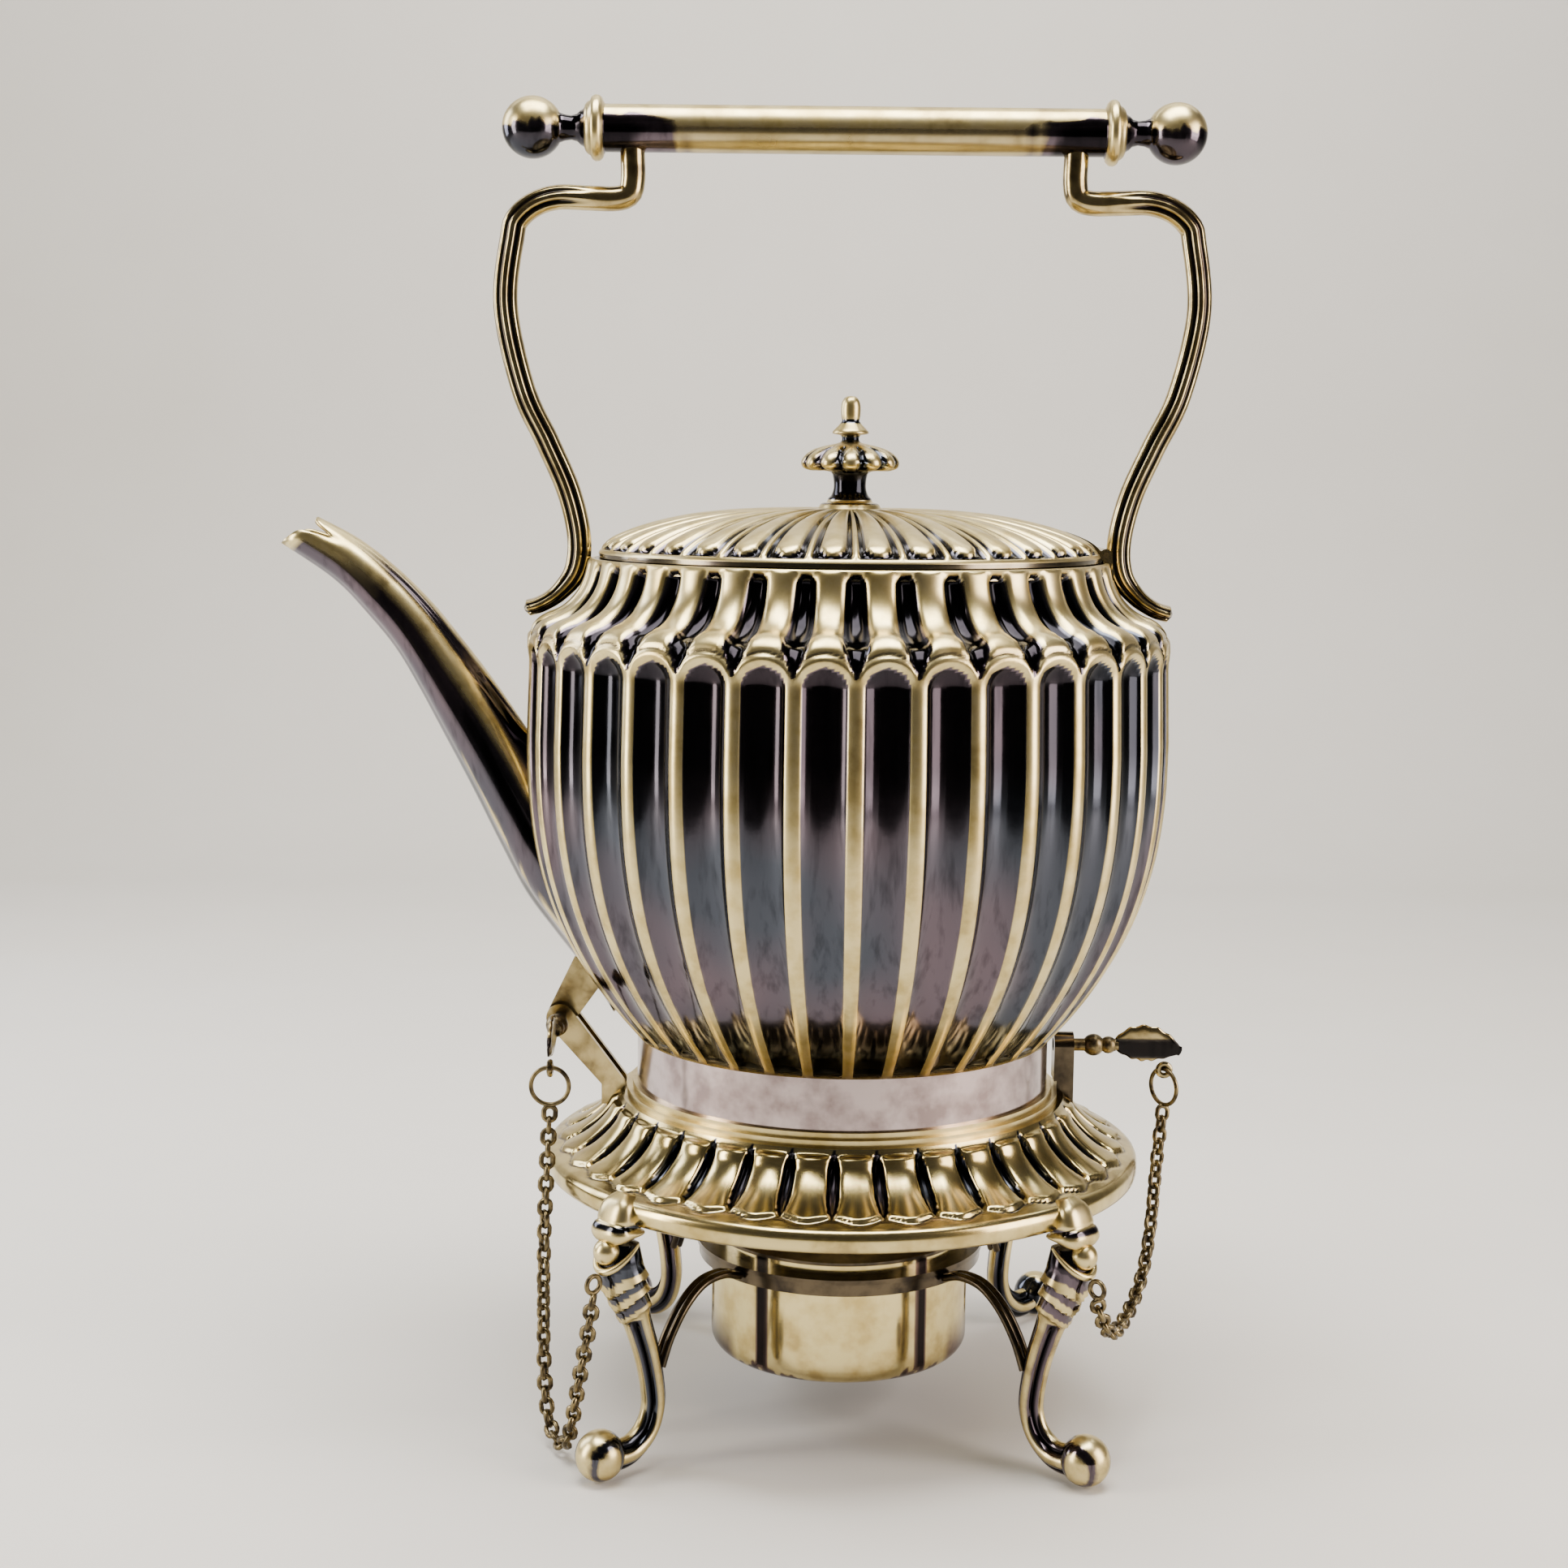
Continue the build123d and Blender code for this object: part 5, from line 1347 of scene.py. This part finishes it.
@dataclass
class Finial:
    """The turned finial: stepped foot, waist, a cap of twelve petals, a disc and a ball."""

    floor: float = 227.6
    petals: int = 12

    def build(self) -> Object:
        """Turn the finial and lift its petals.

        Returns:
            The mesh.
        """
        stem = [(0.0, -0.4), (7.3, -0.3), (7.5, 0.5), (7.0, 1.2), (5.6, 1.6), (5.4, 2.4), (4.6, 3.2), (4.1, 4.6),
                (4.0, 6.0), (4.2, 7.6), (4.7, 8.8), (6.6, 9.2), (9.4, 9.2), (11.3, 9.7), (12.1, 10.6),
                (11.9, 11.9), (10.8, 13.3), (8.8, 14.5), (6.2, 15.3), (3.9, 15.8), (2.4, 16.3), (2.1, 17.2),
                (2.6, 17.9), (4.3, 18.2), (4.5, 18.7), (3.8, 19.5), (2.9, 20.4), (2.4, 21.0), (2.1, 21.5),
                (2.3, 22.1), (2.4, 23.4), (2.4, 24.9), (2.1, 26.2), (1.3, 27.2), (0.0, 27.5)]
        line = smooth_line(stem, 110)
        line[:, 1] += self.floor
        line[:, 0] = np.maximum(line[:, 0], 0)
        line[0, 0] = line[-1, 0] = 0.0
        obj = lathe("petal_finial", [tuple(p) for p in line], 144, smooth_angle=60)
        co = Bench.points(obj)
        r, z = np.hypot(co[:, 0], co[:, 1]) / MM, co[:, 2] / MM - self.floor
        angle = np.arctan2(co[:, 1], co[:, 0]) - FRONT
        wave = np.abs(np.cos(angle * self.petals / 2))
        on = ease((r - 4.6) / 3.0) * ((z > 8.9) & (z < 15.9))
        notch = 1 - wave ** 0.6
        co[:, :2] *= (1 - on * 0.13 * notch)[:, None]
        co[:, 2] += on * notch * np.where(z > 11.0, -0.7, 1.2) * MM
        Bench.move(obj, co)
        hollow = on * np.clip(1.2 * notch, 0, 1)
        for low, high, deep in ((2.0, 9.2, 0.95), (16.0, 17.8, 0.95), (20.6, 21.9, 0.8), (0.9, 1.5, 0.8)):
            hollow = np.maximum(hollow, deep * ease((z - low) / 0.4) * ease((high - z) / 0.4))
        Bench.mark(obj, "hollow", hollow)
        return place(obj)

    def dress(self, obj: Object) -> None:
        """Finish the finial."""
        fit(obj, Finish.BODY, "lid", "finial_base", "finial_cap", "finial_tip")


@dataclass
class GripBar:
    """The straight grip: a tube, a rounded collar and a dark neck at each end, and two ball knobs."""

    height: float = 318.5
    tube_r: float = 5.7
    tube_half: float = 60.4
    knob_x: float = 78.0
    knob_r: float = 7.45

    def build(self) -> Object:
        """Turn the bar upright, then lay it along its own line.

        Returns:
            The mesh.
        """
        end = [(self.tube_r, self.tube_half), (6.3, 60.8), (7.1, 61.1), (7.75, 61.8), (7.85, 62.8), (7.4, 63.6),
               (6.5, 64.0), (6.2, 64.6), (5.6, 65.2), (4.5, 65.6), (4.1, 66.4), (3.3, 67.2), (2.9, 68.6),
               (3.1, 70.2)]
        a = np.linspace(0.5, math.pi, 22)
        end += [(self.knob_r * math.sin(x), self.knob_x - self.knob_r * math.cos(x)) for x in a]
        end[-1] = (0.0, end[-1][1])
        tube = [(self.tube_r, x) for x in np.linspace(-self.tube_half + 2, self.tube_half - 2, 60)]
        outline = [(r, -x) for r, x in reversed(end)] + tube + end
        obj = lathe("grip_bar", outline, 72, smooth_angle=50)
        co = Bench.points(obj)
        co = np.stack([co[:, 2], co[:, 1], co[:, 0]], axis=1)
        x, y, up = co.T / MM
        out = np.abs(x)
        # painted shade: the tube's underside and each knob's lower half are darker by how the surface faces up, and
        # the ragged dark patches at the tube's ends, part tarnish, keep to the lower side as painted shade
        level = up / np.maximum(np.hypot(y, up), 0.1)
        ragged = np.sin(0.83 * x + 2.2 * np.sin(0.31 * x)) * 0.5 + np.sin(2.9 * x + 4 * level) * 0.3
        ends = ease((out - 40 - 5 * ragged) / 14) * ease((0.55 - level + 0.25 * ragged) / 0.3) * (out < 60.6)
        hollow = ends * 0.85 + 0.22 * ease((0.1 - level) / 0.2) * (out < 60.6)
        hollow = np.maximum(hollow, 0.95 * ease((out - 65.0) / 0.8) * ease((71.8 - out) / 0.8))
        hollow = np.maximum(hollow, 0.85 * (out > 71.4) * ease((0.25 - level + 0.2 * ragged) / 0.5))
        co[:, 2] += self.height * MM
        Bench.move(obj, co)
        Bench.mark(obj, "hollow", np.clip(hollow, 0, 1))
        return place(Bench.clean(obj, smooth_angle=50))

    def dress(self, obj: Object) -> None:
        """Finish the grip."""
        fit(obj, Finish.BODY, "kettle", "grip_tube", "grip_collar_front", "grip_collar_rear",
            "grip_knob_front", "grip_knob_rear")


@dataclass
class BurnerDrum:
    """The plain drum of the burner, with painted dark reflections of the legs and struts and darker round the bottom
    edge.
    """

    radius: float = 32.8
    low: float = 13.7
    high: float = 44.5
    corner: float = 4.0
    sheet: float = 0.8

    def build(self) -> Object:
        """Turn the drum as a thin open cup and mark its painted reflections and darker places.

        Returns:
            The mesh.
        """
        def bend(radius: float, corner: float, low: float) -> list[tuple[float, float]]:
            """The rounded bottom corner of one side of the wall."""
            return [(radius - corner + corner * math.sin(a), low + corner - corner * math.cos(a))
                    for a in np.linspace(0, math.pi / 2, 8)]

        wall = [(self.radius, z) for z in np.linspace(self.low + 6, self.high - 2, 16)]
        outline = [(0.0, self.low)] + bend(self.radius, self.corner, self.low) + wall + [(self.radius, self.high)]
        inner = bend(self.radius - self.sheet, self.corner - self.sheet, self.low + self.sheet)
        outline += [(self.radius - self.sheet, self.high)] + inner[::-1] + [(0.0, self.low + self.sheet)]
        obj = lathe("burner_drum", outline, 240, closed=True)
        x, y, z = Bench.points(obj).T / MM
        angle = np.arctan2(y, x) - FRONT
        turn = (np.abs(angle + math.pi) % math.pi)
        away = np.minimum(np.abs(turn - math.radians(37)), np.abs(turn - math.radians(143))) * self.radius
        ragged = 0.5 + 0.3 * np.sin(31 * angle + 2 * np.sin(9 * angle)) + 0.2 * np.sin(77 * angle)
        # painted reflection: four dark vertical streaks stand for the legs' and struts' reflections; the drum is also
        # darker round its bottom edge, rising by the streaks, and in a patch low on each side
        strut_reflection = ease((1.9 + 0.3 * ragged - away) / 0.8) * ease((z - 15) / 2)
        low_edge_dark = ease((14.5 + 4.5 * ragged * bell(away / 9) - z) / 1.5)
        bloom = 0.5 * ease((30 - z) / 14) * ease((away - 5) / 6) * ease((np.cos(2 * turn) + 0.1) / -0.4)
        Bench.mark(obj, "hollow", np.clip(np.maximum(np.maximum(strut_reflection, low_edge_dark * 0.9), bloom), 0, 1))
        return place(obj)

    def dress(self, obj: Object) -> None:
        """Finish the drum."""
        fit(obj, Finish.GILT, "burner", "burner_cup")


@dataclass
class PinLeaf:
    """The leaf-shaped thumb piece of a pin, with a rolled gold edge, a dark face and a lug for the ring."""

    body: str
    start: tuple[float, float, float]
    ahead: tuple[float, float, float]
    lug: tuple[float, float, float]

    def build(self) -> Object:
        """Carry the leaf's section from the pin to its tip and add the lug.

        Returns:
            The mesh.
        """
        ahead, side = np.array(self.ahead), np.array([abs(self.ahead[1]), abs(self.ahead[0]), 0.0])
        t = np.linspace(0, 1, 60)
        centres = np.array(self.start) + ahead * (t * 17)[:, None]
        centres[:, 2] += 0.9 * np.sin(t * math.pi) - 1.6 * t ** 2
        phi = turns(40)
        tall = 1.2 + 3.9 * np.sin(np.clip(t * 1.06, 0, 1) * math.pi) ** 0.75 * (1 - 0.25 * t)
        tall[-1] = 0.5
        edge = 0.55 + 0.45 * np.abs(np.cos(phi)) ** 3
        scallop = 1 + 0.05 * np.sin(t * 34)
        sections = np.stack([np.sin(phi)[None] * 1.15 * edge * np.minimum(tall, 2.4)[:, None] / 2.4,
                             np.cos(phi)[None] * (tall * scallop)[:, None]], axis=2)
        leaf = sweep("leaf", centres, sections, side=tuple(side), smooth_angle=60)
        co = Bench.points(leaf) / MM - np.array(self.start)
        up = co[:, 2] / 5.0
        Bench.mark(leaf, "hollow", np.clip(0.95 * ease((0.45 - up) / 0.25) * ease((up + 0.75) / 0.2), 0, 1))
        ring = Bench.add("lug", bpy.ops.mesh.primitive_torus_add, major_segments=28, minor_segments=10,
                         major_radius=1.5 * MM, minor_radius=0.75 * MM)
        Bench.edit(ring)
        bpy.ops.transform.rotate(value=math.pi / 2, orient_axis="X" if self.ahead[0] else "Y",
                                 center_override=(0, 0, 0))
        Bench.leave()
        Bench.move(ring, Bench.points(ring) + np.array(self.lug) * MM)
        Bench.mark(ring, "hollow", np.full(len(ring.data.vertices), 0.3))
        return Bench.join(f"{self.body}_leaf", [leaf, ring])

    def dress(self, obj: Object) -> None:
        """Finish the thumb piece."""
        fit(obj, Finish.AGED, self.body, f"{self.body}_thumb_piece")


def dress_frame_nodes() -> None:
    """Give the pieces that need no more shaping their finish."""
    kinds = {
        Finish.PLAIN: ["kettle_foot_ring"],
        # pieces in shade under the skirt and lid get the darkened copy of the plate: painted shade
        Finish.SOOTY: ["cradle_ring", "lock_bracket", "neck_rim", "burner_flange", "burner_cover"],
        Finish.AGED: ["tilt_lug", "tilt_bracket", "lid_hinge_fixed", "lid_hinge_flap"],
        Finish.GILT: ["burner_cup", "wick_collar", "wick_tube"],
        Finish.DARK: ["tilt_pin", "tilt_pin_thumb_piece", "tilt_pin_ring", "lock_pin", "lock_pin_thumb_piece",
                      "lock_pin_ring", "chain_eye_front", "chain_eye_rear", "lid_hinge_pin", "grip_rod"],
        Finish.COTTON: ["wick"]}
    chosen = {name: kind for kind, names in kinds.items() for name in names}
    for name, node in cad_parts.items():
        finish(node, chosen.get(name, Finish.BODY))


def main() -> None:
    """Build every piece and report it."""
    studio = Studio()
    studio.camera()
    chains = [SafetyChain("tilt_pin_chain_links", "tilt_pin_chain", 133.6, TILT_CHAIN_ROUTE),
              SafetyChain("lock_pin_chain_links", "lock_pin_chain", 92.1, LOCK_CHAIN_ROUTE)]
    for chain in chains:
        chain.build()
        chain.dress()
        LOG.info("%s made", chain.name)
    studio.build()
    dress_frame_nodes()
    makers = [KettleBowl("kettle_bowl"), FlutedLid("fluted_lid"), FlutedSkirt("fluted_skirt", -0.3), Spout(),
              HandleArm(1, "handle_arm_rear"), HandleArm(-1, "handle_arm_front"), Finial(),
              GripBar(), BurnerDrum(), PinLeaf("tilt_pin", (-44.8, -17.4, 99.0), (0, -1, 0), (-44.8, -29.9, 92.6)),
              PinLeaf("lock_pin", (96.2, 0.0, 92.5), (1, 0, 0), (108.9, 0.0, 86.1))]
    makers += [CabrioleLeg(k + 1, 45.0 + 90.0 * k) for k in range(4)]
    makers += [CradleStrut(k + 1, 45.0 + 90.0 * k) for k in range(4)]
    for maker in makers:
        obj = maker.build()
        maker.dress(obj)
        LOG.info("%s made, %d faces", obj.name, len(obj.data.polygons))


if __name__ == "__main__":
    main()
